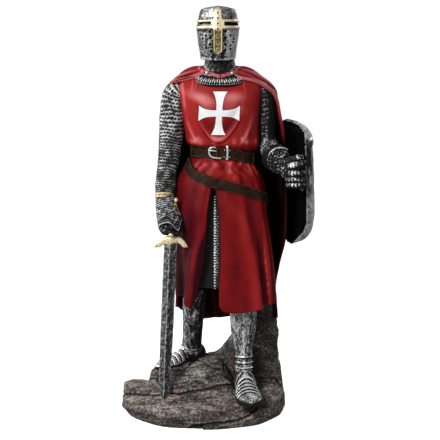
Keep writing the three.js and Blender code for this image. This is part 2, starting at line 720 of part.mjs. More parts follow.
// Sword: the blade hangs from the guard to its point. The grip and pommel lean inward a little from it,
// as they were cast. The gap grows every face.
function sword(gap = 0) {
  const down = swordPoint.clone().sub(hiltLow);
  const length = down.length() + bladeSocket;
  const half = bladeWidth / 2 + gap;
  const thick = bladeThickness / 2 + gap;
  const section = (wide, deep, at) =>
    [[-wide, 0], [-0.12 * wide, -deep], [wide, 0], [-0.12 * wide, deep]]
      .map(([x, y]) => new THREE.Vector3(x, y, -at));
  const blade = loft([
    section(half, thick, -0.5 * unit),
    section(half, thick, length * 0.45),
    section(half * 0.86, thick * 0.9, length - bladePoint),
    section(0.5 * unit + gap, 0.5 * unit + gap, length + gap),
  ]);
  const steps = 8;
  const arm = Array.from({ length: steps + 1 }, (_, i) => {
    const t = (2 * i) / steps - 1;
    const drop = Math.abs(t) ** 2.1 * guardHeight * 1.5;
    const half = lerp(guardHeight * 0.5, guardHeight * 0.34, Math.abs(t)) + gap;
    const deep = lerp(guardThickness * 0.5, guardThickness * 0.36, Math.abs(t)) + gap;
    const x = t * (guardSpan / 2 - unit + gap);
    const lean = 0.35 * t;
    return [[-half, 0.6], [-half, -0.6], [half, -0.6], [half, 0.6]].map(
      ([h, d]) => new THREE.Vector3(x + h * lean, (deep * d) / 0.6, h - drop),
    );
  });
  const boss = new THREE.SphereGeometry(1, 8, 5);
  boss.scale(3.1 * unit + gap, 2.9 * unit + gap, 2.7 * unit + gap).translate(0, 0, 1.6 * unit);
  const whole = join([blade, loft(arm), fromGeometry(boss)]);
  const axis = down.clone().negate().normalize();
  const side = new THREE.Vector3(1, 0, 0).addScaledVector(axis, -axis.x).normalize();
  const depth = new THREE.Vector3().crossVectors(axis, side);
  const place = new THREE.Matrix4().makeBasis(side, depth, axis).setPosition(hiltLow);
  const grip = new THREE.CylinderGeometry(gripRadius + gap, gripRadius + gap, hiltTop.distanceTo(hiltLow), 8);
  const pommel = new THREE.SphereGeometry(pommelRadius + gap, 10, 7);
  const upward = hiltTop.clone().sub(hiltLow).normalize();
  const turn = new THREE.Quaternion().setFromUnitVectors(new THREE.Vector3(0, 1, 0), upward);
  grip.applyQuaternion(turn).translate(...hiltLow.clone().lerp(hiltTop, 0.5).toArray());
  pommel.translate(...hiltTop.clone().addScaledVector(upward, pommelRadius * 0.4).toArray());
  return join([whole.transform(place.elements), fromGeometry(grip), fromGeometry(pommel)]);
}

// Shield: a bent plate, rounded above and pointed below, carried turned and leaning on the left fist.
const shieldSeat = { x: 48, y: -6, z: 169, frontEdge: -25, lean: 15 };
const shieldOutline = table([
  [1, 0.84], [0.975, 0.95], [0.92, 1], [0.7, 1], [0.5, 0.98], [0.35, 0.88], [0.22, 0.7], [0.1, 0.42], [0, 0.05],
]);

function shieldPoint(across, up, out) {
  const lean = shieldSeat.lean * degree;
  const [s, t] = [across, up - shieldHeight / 2];
  const arc = s * Math.cos(lean) - t * Math.sin(lean);
  const climb = s * Math.sin(lean) + t * Math.cos(lean);
  const turn = (arc + shieldWidth / 2) / shieldBend + shieldSeat.frontEdge * degree;
  const bow = 3.2 * unit * (climb / (shieldHeight / 2)) ** 2;
  const reach = shieldBend + out - bow;
  return new THREE.Vector3(
    shieldSeat.x * unit + reach * Math.cos(turn),
    shieldSeat.y * unit + reach * Math.sin(turn),
    shieldSeat.z * unit + climb,
  );
}

function shieldPlate(margin, inner, outer) {
  const levels = [0, 0.08, 0.2, 0.35, 0.5, 0.75, 0.95, 1];
  const columns = 7;
  const rings = levels.map((level) => {
    const [share] = shieldOutline(level);
    const reach = Math.max((share * shieldWidth) / 2 - margin, 0.4 * unit);
    const up = lerp(margin, shieldHeight - margin, level);
    const face = (out) => (i) => shieldPoint(lerp(-reach, reach, i / columns), up, out);
    const front = Array.from({ length: columns + 1 }, (_, i) => face(outer)(i));
    const back = Array.from({ length: columns + 1 }, (_, i) => face(inner)(columns - i));
    return [...front, ...back];
  });
  return loft(rings, columns + 1);
}

function shield(gap = 0) {
  const plate = shieldPlate(-gap, -shieldThickness - gap, gap);
  const anchor = (z) => shieldPoint(shieldRim - shieldWidth / 2, z, -shieldThickness / 2);
  const bar = (up) => gripMiddle.clone().add(new THREE.Vector3(0, 0, up * unit));
  const strap = new THREE.CatmullRomCurve3([
    anchor(shieldHeight * 0.74), bar(14).lerp(anchor(shieldHeight * 0.74), 0.3), bar(9), bar(0), bar(-9),
    bar(-14).lerp(anchor(shieldHeight * 0.4), 0.3), anchor(shieldHeight * 0.4),
  ]);
  const section = new THREE.Shape().absellipse(0, 0, strapRadius + gap, strapRadius + gap, 0, 2 * Math.PI);
  const held = fromGeometry(
    new THREE.ExtrudeGeometry(section, { steps: 8, curveSegments: 2, extrudePath: strap }),
  );
  const whole = plate.add(held);
  return gap ? whole : whole.subtract(shieldPlate(shieldRim, -rimHeight, shieldThickness));
}

function knight() {
  const body = join([
    surcoat().subtract(underSkirt()).subtract(frontSlit()),
    cape(),
    coif(),
    throatBand(),
    helmet(),
    belt(waistCourse),
    belt(hipCourse),
    buckle(),
    limb(rightArm, 11, 8),
    limb(leftUpperArm, 10, 6),
    limb(leftForearm, 10, 4),
    limb(leftCuff, 14, 5),
    limb([[-28.8, -9.2, 165, 7, 6.9], [-28.9, -10, 161.6, 6.9, 6.8]], 14, 1),
    rightHand(),
    leftHand(),
    limb(rightLeg, 11, 5, shinRidge(60)),
    limb(leftLeg, 11, 6, shinRidge(90)),
  ]);
  const feet = [
    sabaton([-1, 11.5], [-36, -12.5], [41, 35.5], 12, 8.2),
    sabaton([28.6, -2], [34.8, -43], [20, 15.4], 17, 8.9),
  ];
  return join([body, ...feet, rock(), pillar()]).subtract(sword(clearance)).subtract(shield(clearance));
}

function named(name, made, colour, roughness, metalness) {
  const mesh = made.getMesh();
  const geometry = new THREE.BufferGeometry();
  geometry.setAttribute("position", new THREE.BufferAttribute(mesh.vertProperties, 3));
  geometry.setIndex(new THREE.BufferAttribute(mesh.triVerts, 1));
  geometry.computeVertexNormals();
  const material = new THREE.MeshStandardMaterial({ color: colour, roughness, metalness });
  const piece = new THREE.Mesh(geometry, material);
  piece.name = name;
  return piece;
}

const statue = new THREE.Group();
statue.add(
  named("knight_and_rock", knight(), 0x8a1c1f, 0.45, 0),
  named("sword", sword(), 0x8d8f92, 0.4, 0.6),
  named("shield", shield(), 0x6f7275, 0.45, 0.5),
);

export default statue;
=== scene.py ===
import math
import bpy
import numpy as np
from mathutils import Matrix, Vector, noise


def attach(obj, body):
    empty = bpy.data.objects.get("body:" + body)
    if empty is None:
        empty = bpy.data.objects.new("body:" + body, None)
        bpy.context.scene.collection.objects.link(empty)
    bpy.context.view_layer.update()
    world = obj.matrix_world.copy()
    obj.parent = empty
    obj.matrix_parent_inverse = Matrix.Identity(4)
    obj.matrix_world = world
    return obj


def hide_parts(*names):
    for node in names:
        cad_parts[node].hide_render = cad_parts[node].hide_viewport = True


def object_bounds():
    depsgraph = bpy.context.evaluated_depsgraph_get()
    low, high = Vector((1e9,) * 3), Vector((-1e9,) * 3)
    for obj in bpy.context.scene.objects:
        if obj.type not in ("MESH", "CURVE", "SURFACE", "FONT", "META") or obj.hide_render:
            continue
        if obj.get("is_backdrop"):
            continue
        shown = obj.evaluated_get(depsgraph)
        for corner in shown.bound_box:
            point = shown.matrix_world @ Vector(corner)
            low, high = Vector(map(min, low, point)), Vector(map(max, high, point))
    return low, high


# A painted resin statuette of a knight.
# Forms are worked out in millimetres, as the CAD is, and written in metres.

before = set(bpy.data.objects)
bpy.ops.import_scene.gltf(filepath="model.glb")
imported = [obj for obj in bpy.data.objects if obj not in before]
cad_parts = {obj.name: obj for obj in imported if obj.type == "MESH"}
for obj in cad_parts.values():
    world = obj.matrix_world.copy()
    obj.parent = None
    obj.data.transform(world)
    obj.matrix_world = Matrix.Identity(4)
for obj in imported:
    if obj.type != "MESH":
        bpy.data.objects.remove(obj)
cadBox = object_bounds()
mm = 0.001
mergeGap = 0.02  # millimetres
figure = "knight_and_rock"
scene = bpy.context.scene


# small maths, on single numbers or whole arrays
def rise(x, low, high):
    t = np.clip((np.asarray(x, float) - low) / (high - low), 0, 1)
    return t * t * (3 - 2 * t)


def fall(x, low, high):
    return 1 - rise(x, low, high)


def bump(s):
    return np.exp(-np.square(s))


def lerp(a, b, t):
    return a + (b - a) * t


def rounded(value, power):
    return np.sign(value) * np.abs(value) ** (2 / power)


def wrapped(angle):
    return (angle + 180) % 360 - 180


def table(rows):
    # a smooth curve with no overshoot through rows of [at, value, ...]
    rows = np.array(sorted(rows, key=lambda row: row[0]), float)
    at, values = rows[:, 0], rows[:, 1:]
    span = np.diff(at)
    slope = np.diff(values, axis=0) / span[:, None]
    tangent = np.zeros_like(values)
    tangent[0], tangent[-1] = slope[0], slope[-1]
    before, after = slope[:-1], slope[1:]
    same = before * after > 0
    tangent[1:-1] = np.where(same, 2 * before * after / np.where(same, before + after, 1), 0)

    def read(x):
        x = np.clip(np.asarray(x, float), at[0], at[-1])
        i = np.clip(np.searchsorted(at, x, side="right") - 1, 0, len(span) - 1)
        t = (x - at[i]) / span[i]
        t2, t3 = t * t, t * t * t
        return [
            (2 * t3 - 3 * t2 + 1) * values[i, c] + (t3 - 2 * t2 + t) * span[i] * tangent[i, c]
            + (3 * t2 - 2 * t3) * values[i + 1, c] + (t3 - t2) * span[i] * tangent[i + 1, c]
            for c in range(values.shape[1])
        ]

    return read


def curveThrough(points):
    # the same centripetal curve that the CAD's limbs follow
    p = np.array(points, float)
    p = np.vstack([2 * p[0] - p[1], p, 2 * p[-1] - p[-2]])
    gap = np.sqrt(np.linalg.norm(np.diff(p, axis=0), axis=1))
    a, b, c, d = p[:-3], p[1:-2], p[2:-1], p[3:]
    g0, g1, g2 = gap[:-2, None], gap[1:-1, None], gap[2:, None]
    m1 = ((b - a) / g0 - (c - a) / (g0 + g1) + (c - b) / g1) * g1
    m2 = ((c - b) / g1 - (d - b) / (g1 + g2) + (d - c) / g2) * g1

    def read(t):
        whole = np.clip(np.asarray(t, float), 0, 1) * len(b)
        i = np.clip(whole.astype(int), 0, len(b) - 1)
        s = (whole - i)[..., None]
        return (b[i] + m1[i] * s + (3 * (c[i] - b[i]) - 2 * m1[i] - m2[i]) * s**2
                + (2 * (b[i] - c[i]) + m1[i] + m2[i]) * s**3)

    return read


def spread(u, values):
    # reads evenly spaced values at a share of the way
    return np.interp(u, np.linspace(0, 1, len(values)), values)


def beyond(u):
    # how far a share lies outside 0 to 1
    return np.minimum(u, 0) + np.maximum(u - 1, 0)


def unit(vectors):
    return vectors / np.maximum(np.linalg.norm(vectors, axis=-1, keepdims=True), 1e-9)


def ripple(places, size, seed, count=14):
    # soft unevenness, -1 to 1, from crossing waves of about that size
    draw = np.random.default_rng(seed)
    way = unit(draw.normal(size=(count, 3))) * draw.uniform(0.7, 1.5, (count, 1)) * 2 * math.pi / size
    return np.sin(places @ way.T + draw.uniform(0, 6.3, count)).sum(1) / math.sqrt(count) / 1.4


def links(s, t, pitch, drop, size, wire=0.34, lean=0.2, ends=0.45):
    # height 0 to 1 of linked rings, laid like bricks: s runs along a row, t across the rows
    best = np.zeros_like(s)
    for shift in (-1, 0, 1):
        row = np.floor(t / drop) + shift
        odd = row % 2
        column = np.floor(s / pitch - odd / 2)
        turn = lean * np.where(odd < 1, 1, -1)
        for side in (-1, 0, 1):
            a = s - (column + side + 0.5 + odd / 2) * pitch
            b = t - (row + 0.5) * drop
            x = a * np.cos(turn) + b * np.sin(turn)
            y = b * np.cos(turn) - a * np.sin(turn)
            ring = np.hypot(x / size[0], y / size[1])
            best = np.maximum(best, bump((ring - 1) * min(size) / wire)
                              * (ends + (1 - ends) * np.minimum(1, np.abs(y / size[1]) * 1.3)))
    return best


# handling pieces
def deselect():
    if bpy.context.object and bpy.context.object.mode != "OBJECT":
        bpy.ops.object.mode_set(mode="OBJECT")
    bpy.ops.object.select_all(action="DESELECT")


def pick(*pieces):
    deselect()
    for piece in pieces:
        piece.select_set(True)
    bpy.context.view_layer.objects.active = pieces[0]
    return pieces[0]


def called(name):
    piece = bpy.context.object
    piece.name = name
    piece.data.name = name
    return piece


def settle():
    # writes the picked piece's place, turn and size into its mesh
    bpy.ops.object.transform_apply(location=True, rotation=True, scale=True)


def read(parts, kind):
    # one vector of every vertex or face
    flat = np.empty(len(parts) * 3)
    parts.foreach_get(kind, flat)
    return flat.reshape(-1, 3)


def readPoints(piece):
    return read(piece.data.vertices, "co")


def writePoints(piece, places):
    piece.data.vertices.foreach_set("co", np.ascontiguousarray(places, dtype=np.float32).ravel())
    piece.data.update()


def readNormals(piece):
    return read(piece.data.vertices, "normal")


def setBrushAndLight(piece, values):
    # the attribute that the paints read: how much each place stands out and catches the brush, with painted
    # highlights and painted shade laid over that
    layer = piece.data.attributes.get("brushAndLight") or piece.data.attributes.new("brushAndLight", "FLOAT", "POINT")
    layer.data.foreach_set("value", np.asarray(values, dtype=np.float32))


def getBrushAndLight(piece):
    values = np.empty(len(piece.data.vertices), np.float32)
    piece.data.attributes["brushAndLight"].data.foreach_get("value", values)
    return values


def editFaces(piece, test):
    # goes into edit mode with the faces picked whose middle and normal pass the test
    pick(piece)
    mesh = piece.data
    chosen = test(read(mesh.polygons, "center") / mm, read(mesh.polygons, "normal"))
    bpy.ops.object.mode_set(mode="EDIT")
    bpy.ops.mesh.select_mode(type="FACE")
    bpy.ops.mesh.select_all(action="DESELECT")
    bpy.ops.object.mode_set(mode="OBJECT")
    mesh.polygons.foreach_set("select", np.asarray(chosen, bool))
    bpy.ops.object.mode_set(mode="EDIT")


def editOpenEdges(piece):
    # goes into edit mode with the edges of its open ends picked
    pick(piece)
    bpy.ops.object.mode_set(mode="EDIT")
    bpy.ops.mesh.select_mode(type="EDGE")
    bpy.ops.mesh.select_all(action="DESELECT")
    bpy.ops.mesh.select_non_manifold()


def done():
    bpy.ops.object.mode_set(mode="OBJECT")


def closeUp(piece, fill=True):
    # merges seams and poles, fills open ends and turns every face outwards
    pick(piece)
    bpy.ops.object.mode_set(mode="EDIT")
    bpy.ops.mesh.select_all(action="SELECT")
    bpy.ops.mesh.remove_doubles(threshold=mergeGap * mm)
    if fill:
        bpy.ops.mesh.fill_holes(sides=0)
        bpy.ops.mesh.normals_make_consistent(inside=False)
    done()
    return piece


def change(piece, kind, **settings):
    # adds a modifier and applies it
    pick(piece)
    modifier = piece.modifiers.new(kind.title(), kind)
    for key, value in settings.items():
        setattr(modifier, key, value)
    bpy.ops.object.modifier_apply(modifier=modifier.name)


def joined(name, *pieces):
    pick(*pieces)
    if len(pieces) > 1:
        bpy.ops.object.join()
    return called(name)


def thicken(piece, thickness):
    # gives an open sheet a wall inwards, and says how many outer vertices and faces it has
    outer = len(piece.data.vertices), len(piece.data.polygons)
    change(piece, "SOLIDIFY", thickness=thickness * mm, offset=-1, use_rim=True)
    return outer


def finished(piece, material, angle=180, node=figure):
    # shades, paints and hands over a piece; angle is the sharpest bend that is still shaded smooth
    pick(piece)
    if angle >= 180:
        bpy.ops.object.shade_smooth()
    else:
        bpy.ops.object.shade_smooth_by_angle(angle=math.radians(angle))
    if material:
        piece.data.materials.clear()
        piece.data.materials.append(material)
    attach(piece, "root")
    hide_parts(node)
    return piece


def skin(name, columns, rows, form, relief=None, fill=False):
    # a grid primitive laid over form(u, v), each of 0 to 1, then raised along its normal
    deselect()
    bpy.ops.mesh.primitive_grid_add(x_subdivisions=columns, y_subdivisions=rows, size=2)
    piece = called(name)
    flat = readPoints(piece)
    u, v = (flat[:, 0] + 1) / 2, (flat[:, 1] + 1) / 2
    places = form(u, v)
    step = 0.002
    normal = unit(np.cross(form(u + step, v) - form(u - step, v), form(u, v + step) - form(u, v - step)))
    outward = np.sign(np.sum(normal * (places - places.mean(0)))) or 1
    if relief:
        height, brushAndLight = relief(u, v, places)
        places = places + normal * outward * np.asarray(height)[:, None]
        setBrushAndLight(piece, brushAndLight)
    writePoints(piece, places * mm)
    if outward < 0:
        bpy.ops.object.mode_set(mode="EDIT")
        bpy.ops.mesh.select_all(action="SELECT")
        bpy.ops.mesh.flip_normals()
        done()
    return closeUp(piece, fill)


def barAlong(curve, wide, tall, across, step):
    # a round bar along a curve; its width lies square to the curve and to across
    def form(u, v):
        along = unit(curve(v + step) - curve(v - step))
        side = unit(np.cross(along, np.array(across)))
        up = np.cross(side, along)
        turn = 2 * math.pi * u
        return curve(v) + side * (wide * np.cos(turn))[:, None] + up * (tall * np.sin(turn))[:, None]

    return form


def limbForm(stations, outline=None):
    # a round limb through rows of [x, y, z, half width, half depth]
    stations = np.array(stations, float)
    middle = curveThrough(stations[:, :3])
    sizes = table(np.column_stack([np.linspace(0, 1, len(stations)), stations[:, 3:]]))

    def form(u, v):
        v = np.clip(v, 0, 1)
        along = unit(middle(v + 0.003) - middle(v - 0.003))
        front = unit(np.array([0.0, -1.0, 0.0]) + along * along[..., 1:2])
        side = unit(np.cross(front, along))
        wide, deep = sizes(v)
        turn = 2 * math.pi * u
        grow = outline(np.degrees(turn) % 360, v) if outline else 1
        return (middle(v) + side * (np.cos(turn) * wide * grow)[..., None]
                + front * (np.sin(turn) * deep * grow)[..., None])

    return form


def evenTone(tone):
    # a relief with no height and one tone
    return lambda u, v, spots: (0 * u, tone + 0 * u)


def measured(form):
    # how far round and how long a form is, in millimetres
    t = np.linspace(0, 1, 80)
    around = form(t, np.full(80, 0.5))
    along = form(np.full(80, 0.25), t)
    return (np.linalg.norm(np.diff(around, axis=0), axis=1).sum(),
            np.linalg.norm(np.diff(along, axis=0), axis=1).sum())


# nodes of the materials
def paint(name, roughness=0.5, metallic=0.0):
    material = bpy.data.materials.new(name)
    material.use_nodes = True
    shader = material.node_tree.nodes["Principled BSDF"]
    shader.inputs["Roughness"].default_value = roughness
    shader.inputs["Metallic"].default_value = metallic
    return material, shader


def wire(material, kind, inputs=(), **settings):
    # one node; inputs are values or the sockets they come from
    tree = material.node_tree
    made = tree.nodes.new("ShaderNode" + kind)
    for key, value in settings.items():
        setattr(made, key, value)
    for slot, value in dict(inputs).items():
        socket = made.inputs[slot]
        if isinstance(value, bpy.types.NodeSocket):
            tree.links.new(value, socket)
        else:
            socket.default_value = value
    return made


def link(material, source, shader, slot):
    material.node_tree.links.new(source, shader.inputs[slot])


def places(material):
    return wire(material, "TexCoord").outputs["Object"]


def sums(material, operation, a, b=0.0, c=0.0):
    return wire(material, "Math", {0: a, 1: b, 2: c}, operation=operation).outputs[0]


def stirred(material, height, grain, gain):
    # a height made uneven by a grain
    return sums(material, "ADD", height, sums(material, "MULTIPLY_ADD", grain, gain, -gain / 2))


def ranged(material, value, low, high, first, last):
    # a value of low to high turned into one of first to last
    return wire(material, "MapRange", {0: value, 1: low, 2: high, 3: first, 4: last}).outputs[0]


def grainOf(material, scale, detail=4.0, roughness=0.6, stretch=None, distortion=0.0):
    # a noise over the object, scale in waves per millimetre
    vector = places(material)
    if stretch:
        vector = wire(material, "Mapping", {"Vector": vector, "Scale": stretch}).outputs[0]
    return wire(material, "TexNoise", {"Vector": vector, "Scale": scale * 1000, "Detail": detail,
                                       "Roughness": roughness, "Distortion": distortion}).outputs["Fac"]


def ramp(material, value, stops):
    # stops: (place, colour or grey)
    made = wire(material, "ValToRGB", {"Fac": value})
    colours = made.color_ramp.elements
    while len(colours) < len(stops):
        colours.new(0.5)
    for element, (place, colour) in zip(colours, stops):
        element.position = place
        colour = (colour,) * 3 if isinstance(colour, (int, float)) else colour
        element.color = (*colour, 1)
    return made.outputs["Color"]


def mixed(material, share, a, b, blend="MIX"):
    made = wire(material, "Mix", data_type="RGBA", blend_type=blend, clamp_factor=True)
    for slot, value in ((0, share), (6, a), (7, b)):
        socket = made.inputs[slot]
        if isinstance(value, bpy.types.NodeSocket):
            material.node_tree.links.new(value, socket)
        else:
            socket.default_value = (*value, 1) if isinstance(value, tuple) else value
    return made.outputs[2]


def attribute(material):
    return wire(material, "Attribute", attribute_name="brushAndLight").outputs["Fac"]


def roughen(material, shader, height, strength, distance):
    made = wire(material, "Bump", {"Height": height, "Strength": strength, "Distance": distance * mm})
    link(material, made.outputs[0], shader, "Normal")


# camera, floor and light
cameraSizes = {"place": (0.012, -1.0893, 0.2977), "aim": (0.012, 0, 0.1446), "lens": 122.9, "sensor": 36,
               "far": 100}
# the picture in 440ths: its middle, and the lens in the same measure
pictureSizes = {"middle": 220, "reach": 1502}
deselect()
bpy.ops.object.camera_add(location=cameraSizes["place"])
camera = bpy.context.object
toAim = Vector(cameraSizes["aim"]) - Vector(cameraSizes["place"])
camera.rotation_euler = toAim.to_track_quat("-Z", "Y").to_euler()
camera.data.lens = cameraSizes["lens"]
camera.data.sensor_width = cameraSizes["sensor"]
camera.data.clip_end = cameraSizes["far"]
scene.camera = camera
scene.view_settings.view_transform = "Standard"
scene.view_settings.look = "None"


def frontView(spots):
    # where places in millimetres show in the camera's picture, in 440ths of its width
    eye, ahead = np.array(cameraSizes["place"]) / mm, unit(np.array(toAim, float))
    away = spots - eye
    deep = away @ ahead
    middle, reach = pictureSizes["middle"], pictureSizes["reach"]
    return (middle + reach * away[:, 0] / deep,
            middle - reach * (away @ np.cross([1.0, 0, 0], ahead)) / deep)


def lineAway(px, py, points):
    # distance to a run of straight strokes in that picture
    best = np.full(len(px), 99.0)
    for (ax, ay), (bx, by) in zip(points[:-1], points[1:]):
        t = np.clip(((px - ax) * (bx - ax) + (py - ay) * (by - ay)) / ((bx - ax) ** 2 + (by - ay) ** 2), 0, 1)
        best = np.minimum(best, np.hypot(px - ax - t * (bx - ax), py - ay - t * (by - ay)))
    return best


floorSizes = {"across": 16, "colour": (0.4, 0.4, 0.4), "glow": 0.935}
deselect()
bpy.ops.mesh.primitive_circle_add(vertices=64, radius=floorSizes["across"] / 2, fill_type="NGON")
floor = called("floor")
floorPaint, floorShader = paint("pale_floor", 0.9)
floorShader.inputs["Base Color"].default_value = (*floorSizes["colour"], 1)
floorShader.inputs["Emission Color"].default_value = (1, 1, 1, 1)
seen = wire(floorPaint, "LightPath").outputs["Is Camera Ray"]  # the floor shows pale but lights nothing
link(floorPaint, sums(floorPaint, "MULTIPLY", seen, floorSizes["glow"]), floorShader, "Emission Strength")
floor.data.materials.append(floorPaint)
floor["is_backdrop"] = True

lightSizes = [  # place, aim, size, watts
    ("key", (-0.75, -1.0, 0.95), (0.0, 0.0, 0.16), 0.45, 18.5),
    ("fill", (0.9, -1.0, 0.5), (0.02, 0.0, 0.14), 0.5, 2.2),
    ("side", (-1.0, 0.2, 0.45), (0.0, 0.0, 0.16), 0.35, 6.5),
    ("back", (0.7, 0.9, 0.75), (0.0, 0.0, 0.16), 0.6, 6),
]
for lightName, place, aim, size, watts in lightSizes:
    deselect()
    bpy.ops.object.light_add(type="AREA", location=place)
    lamp = bpy.context.object
    lamp.name = lightName
    lamp.rotation_euler = (Vector(aim) - Vector(place)).to_track_quat("-Z", "Y").to_euler()
    lamp.data.size = size
    lamp.data.energy = watts

roomSizes = {"light": 0.14, "shown": 1.0}  # what lights the object, and what the camera sees behind it
world = bpy.data.worlds.new("pale_room")
scene.world = world
world.use_nodes = True
roomNodes, roomLinks = world.node_tree.nodes, world.node_tree.links
room, shown = roomNodes["Background"], roomNodes.new("ShaderNodeBackground")
for shade, strength in ((room, roomSizes["light"]), (shown, roomSizes["shown"])):
    shade.inputs["Color"].default_value = (1, 1, 1, 1)
    shade.inputs["Strength"].default_value = strength
both = roomNodes.new("ShaderNodeMixShader")
for source, slot in ((roomNodes.new("ShaderNodeLightPath").outputs["Is Camera Ray"], both.inputs[0]),
                     (room.outputs[0], both.inputs[1]), (shown.outputs[0], both.inputs[2]),
                     (both.outputs[0], roomNodes["World Output"].inputs["Surface"])):
    roomLinks.new(source, slot)
print("camera, floor and light are set")


# the paints
crossSizes = {"x": 11.4, "z": 223.9, "half": 14.6, "lean": 0.047, "tall": 0.943, "flare": 3.1, "waist": 2.15,
              "power": 3.5, "soft": 0.06, "line": (0.3, 0.55)}


def crossShare(material):
    # 1 inside the white cross on the chest and 0 outside, and the same with its thin dark outline
    split = wire(material, "SeparateXYZ", {0: places(material)})
    half, middle = crossSizes["half"], crossSizes["z"]
    lean = sums(material, "MULTIPLY_ADD", split.outputs[2], -crossSizes["lean"] / mm,
                crossSizes["lean"] * middle - crossSizes["x"])
    x = sums(material, "ABSOLUTE", sums(material, "MULTIPLY_ADD", split.outputs[0], 1 / mm, lean))
    z = sums(material, "ABSOLUTE", sums(material, "MULTIPLY_ADD", split.outputs[2], crossSizes["tall"] / mm,
                                        -crossSizes["tall"] * middle))
    far, near = sums(material, "MAXIMUM", x, z), sums(material, "MINIMUM", x, z)
    flare = sums(material, "POWER", sums(material, "DIVIDE", far, half), crossSizes["power"])
    arm = sums(material, "MULTIPLY_ADD", flare, crossSizes["flare"], crossSizes["waist"])
    depth = sums(material, "MINIMUM", sums(material, "SUBTRACT", arm, near),
                 sums(material, "SUBTRACT", half, far))
    front = sums(material, "LESS_THAN", split.outputs[1], 0.0)
    soft, (thin, wide) = crossSizes["soft"], crossSizes["line"]
    return [sums(material, "MULTIPLY", ranged(material, depth, low, high, 0.0, 1.0), front)
            for low, high in ((-soft, soft), (-wide, -thin))]


def redPaint(name, stops, cross=False):
    material, shader = paint(name, 0.4)
    wash = grainOf(material, 0.09, 3.0, 0.5)
    fine = grainOf(material, 0.9, 4.0, 0.6)
    height = stirred(material, stirred(material, attribute(material), wash, 0.11), fine, 0.1)
    colour = ramp(material, height, stops)
    if cross:
        inside, outline = crossShare(material)
        colour = mixed(material, outline, colour, (0.05, 0.004, 0.005))
        chalk = ramp(material, fine, [(0.3, (0.9, 0.9, 0.92)), (0.6, (0.97, 0.97, 0.98))])
        colour = mixed(material, inside, colour, chalk)
    link(material, colour, shader, "Base Color")
    shader.inputs["Specular IOR Level"].default_value = 0.09
    link(material, ranged(material, fine, 0.3, 0.7, 0.36, 0.5), shader, "Roughness")
    roughen(material, shader, fine, 0.12, 0.15)
    return material


def brushedPaint(name, stops, grain=0.5, speck=0.35, metallic=0.75, stretch=None, rough=(0.32, 0.55),
                 shine=0.4):
    # silver or gold rubbed over black: the wash stays where the attribute or the grain is low, and the
    # attribute also carries painted highlights and painted shade
    material, shader = paint(name, 0.45, metallic)
    coarse = grainOf(material, grain, 5.0, 0.65, stretch, 0.4)
    fine = grainOf(material, grain * 4.5, 3.0, 0.6, stretch)
    height = stirred(material, stirred(material, attribute(material), coarse, 2.2 * speck), fine, 0.9 * speck)
    link(material, ramp(material, height, stops), shader, "Base Color")
    link(material, ranged(material, height, 0.2, 0.9, rough[1], rough[0]), shader, "Roughness")
    shader.inputs["Specular IOR Level"].default_value = shine
    roughen(material, shader, height, 0.25, 0.25)
    return material


torsoRed = redPaint("red_cloth_paint", [(0.0, (0.028, 0.001, 0.004)), (0.2, (0.075, 0.003, 0.007)),
                                        (0.42, (0.205, 0.006, 0.007)), (0.64, (0.34, 0.018, 0.018)),
                                        (0.95, (0.61, 0.17, 0.16))], cross=True)
capeRed = redPaint("cape_cloth_paint", [(0.0, (0.004, 0.001, 0.0015)), (0.22, (0.05, 0.0035, 0.008)),
                                        (0.45, (0.13, 0.006, 0.012)), (0.68, (0.3, 0.02, 0.024)),
                                        (0.95, (0.52, 0.13, 0.14))])
mailPaint = brushedPaint("mail_silver_paint", [(0.24, 0.002), (0.4, 0.05), (0.58, 0.42), (0.84, 0.92)],
                         0.35, 0.3, 0.25, rough=(0.45, 0.75))
steelPaint = brushedPaint("steel_silver_paint", [(0.28, 0.004), (0.44, 0.1), (0.6, 0.36), (0.9, 0.8)],
                          0.7, 0.66, 0.5)
greavePaint = brushedPaint("greave_silver_paint", [(0.3, 0.004), (0.44, 0.09), (0.6, 0.38), (0.86, 0.88)],
                           0.75, 0.8, 0.45, stretch=(1.2, 1.2, 0.6))
bladePaint = brushedPaint("blade_steel_paint", [(0.3, 0.014), (0.5, 0.1), (0.82, 0.6)], 0.55, 0.5,
                          stretch=(1.2, 1.2, 0.5))
shieldPaint = brushedPaint("shield_silver_paint", [(0.3, 0.004), (0.5, 0.07), (0.68, 0.32), (0.95, 0.8)],
                           0.5, 0.6, stretch=(1, 1, 0.6), metallic=0.4)
goldPaint = brushedPaint("pale_gold_paint", [(0.12, (0.02, 0.013, 0.003)), (0.34, (0.3, 0.2, 0.06)),
                                             (0.62, (0.82, 0.69, 0.39)), (0.85, (0.93, 0.83, 0.54))],
                         0.4, 0.25, 0.3)
bucklePaint = brushedPaint("buckle_silver_paint", [(0.15, 0.03), (0.45, 0.3), (0.8, 0.72)], 0.5, 0.35, 0.6)
beltPaint = brushedPaint("brown_leather_paint", [(0.1, (0.005, 0.003, 0.002)), (0.45, (0.03, 0.013, 0.007)),
                                                 (0.9, (0.12, 0.062, 0.034))],
                         0.3, 0.35, 0.0, rough=(0.5, 0.7), shine=0.1)
blackPaint = brushedPaint("satin_black_paint", [(0.3, 0.0015), (0.8, 0.008)], 0.2, 0.3, 0.0,
                          rough=(0.4, 0.55), shine=0.12)
strapPaint = brushedPaint("dark_strap_paint", [(0.2, 0.002), (0.6, 0.012), (0.95, 0.3)], 0.4, 0.4, 0.0,
                          shine=0.06)
whitePaint = brushedPaint("white_stud_paint", [(0.1, 0.5), (0.4, 0.85)], 0.5, 0.2, 0.0)
rockPaint, rockShader = paint("rock_paint", 0.75)
print("the paints are mixed")


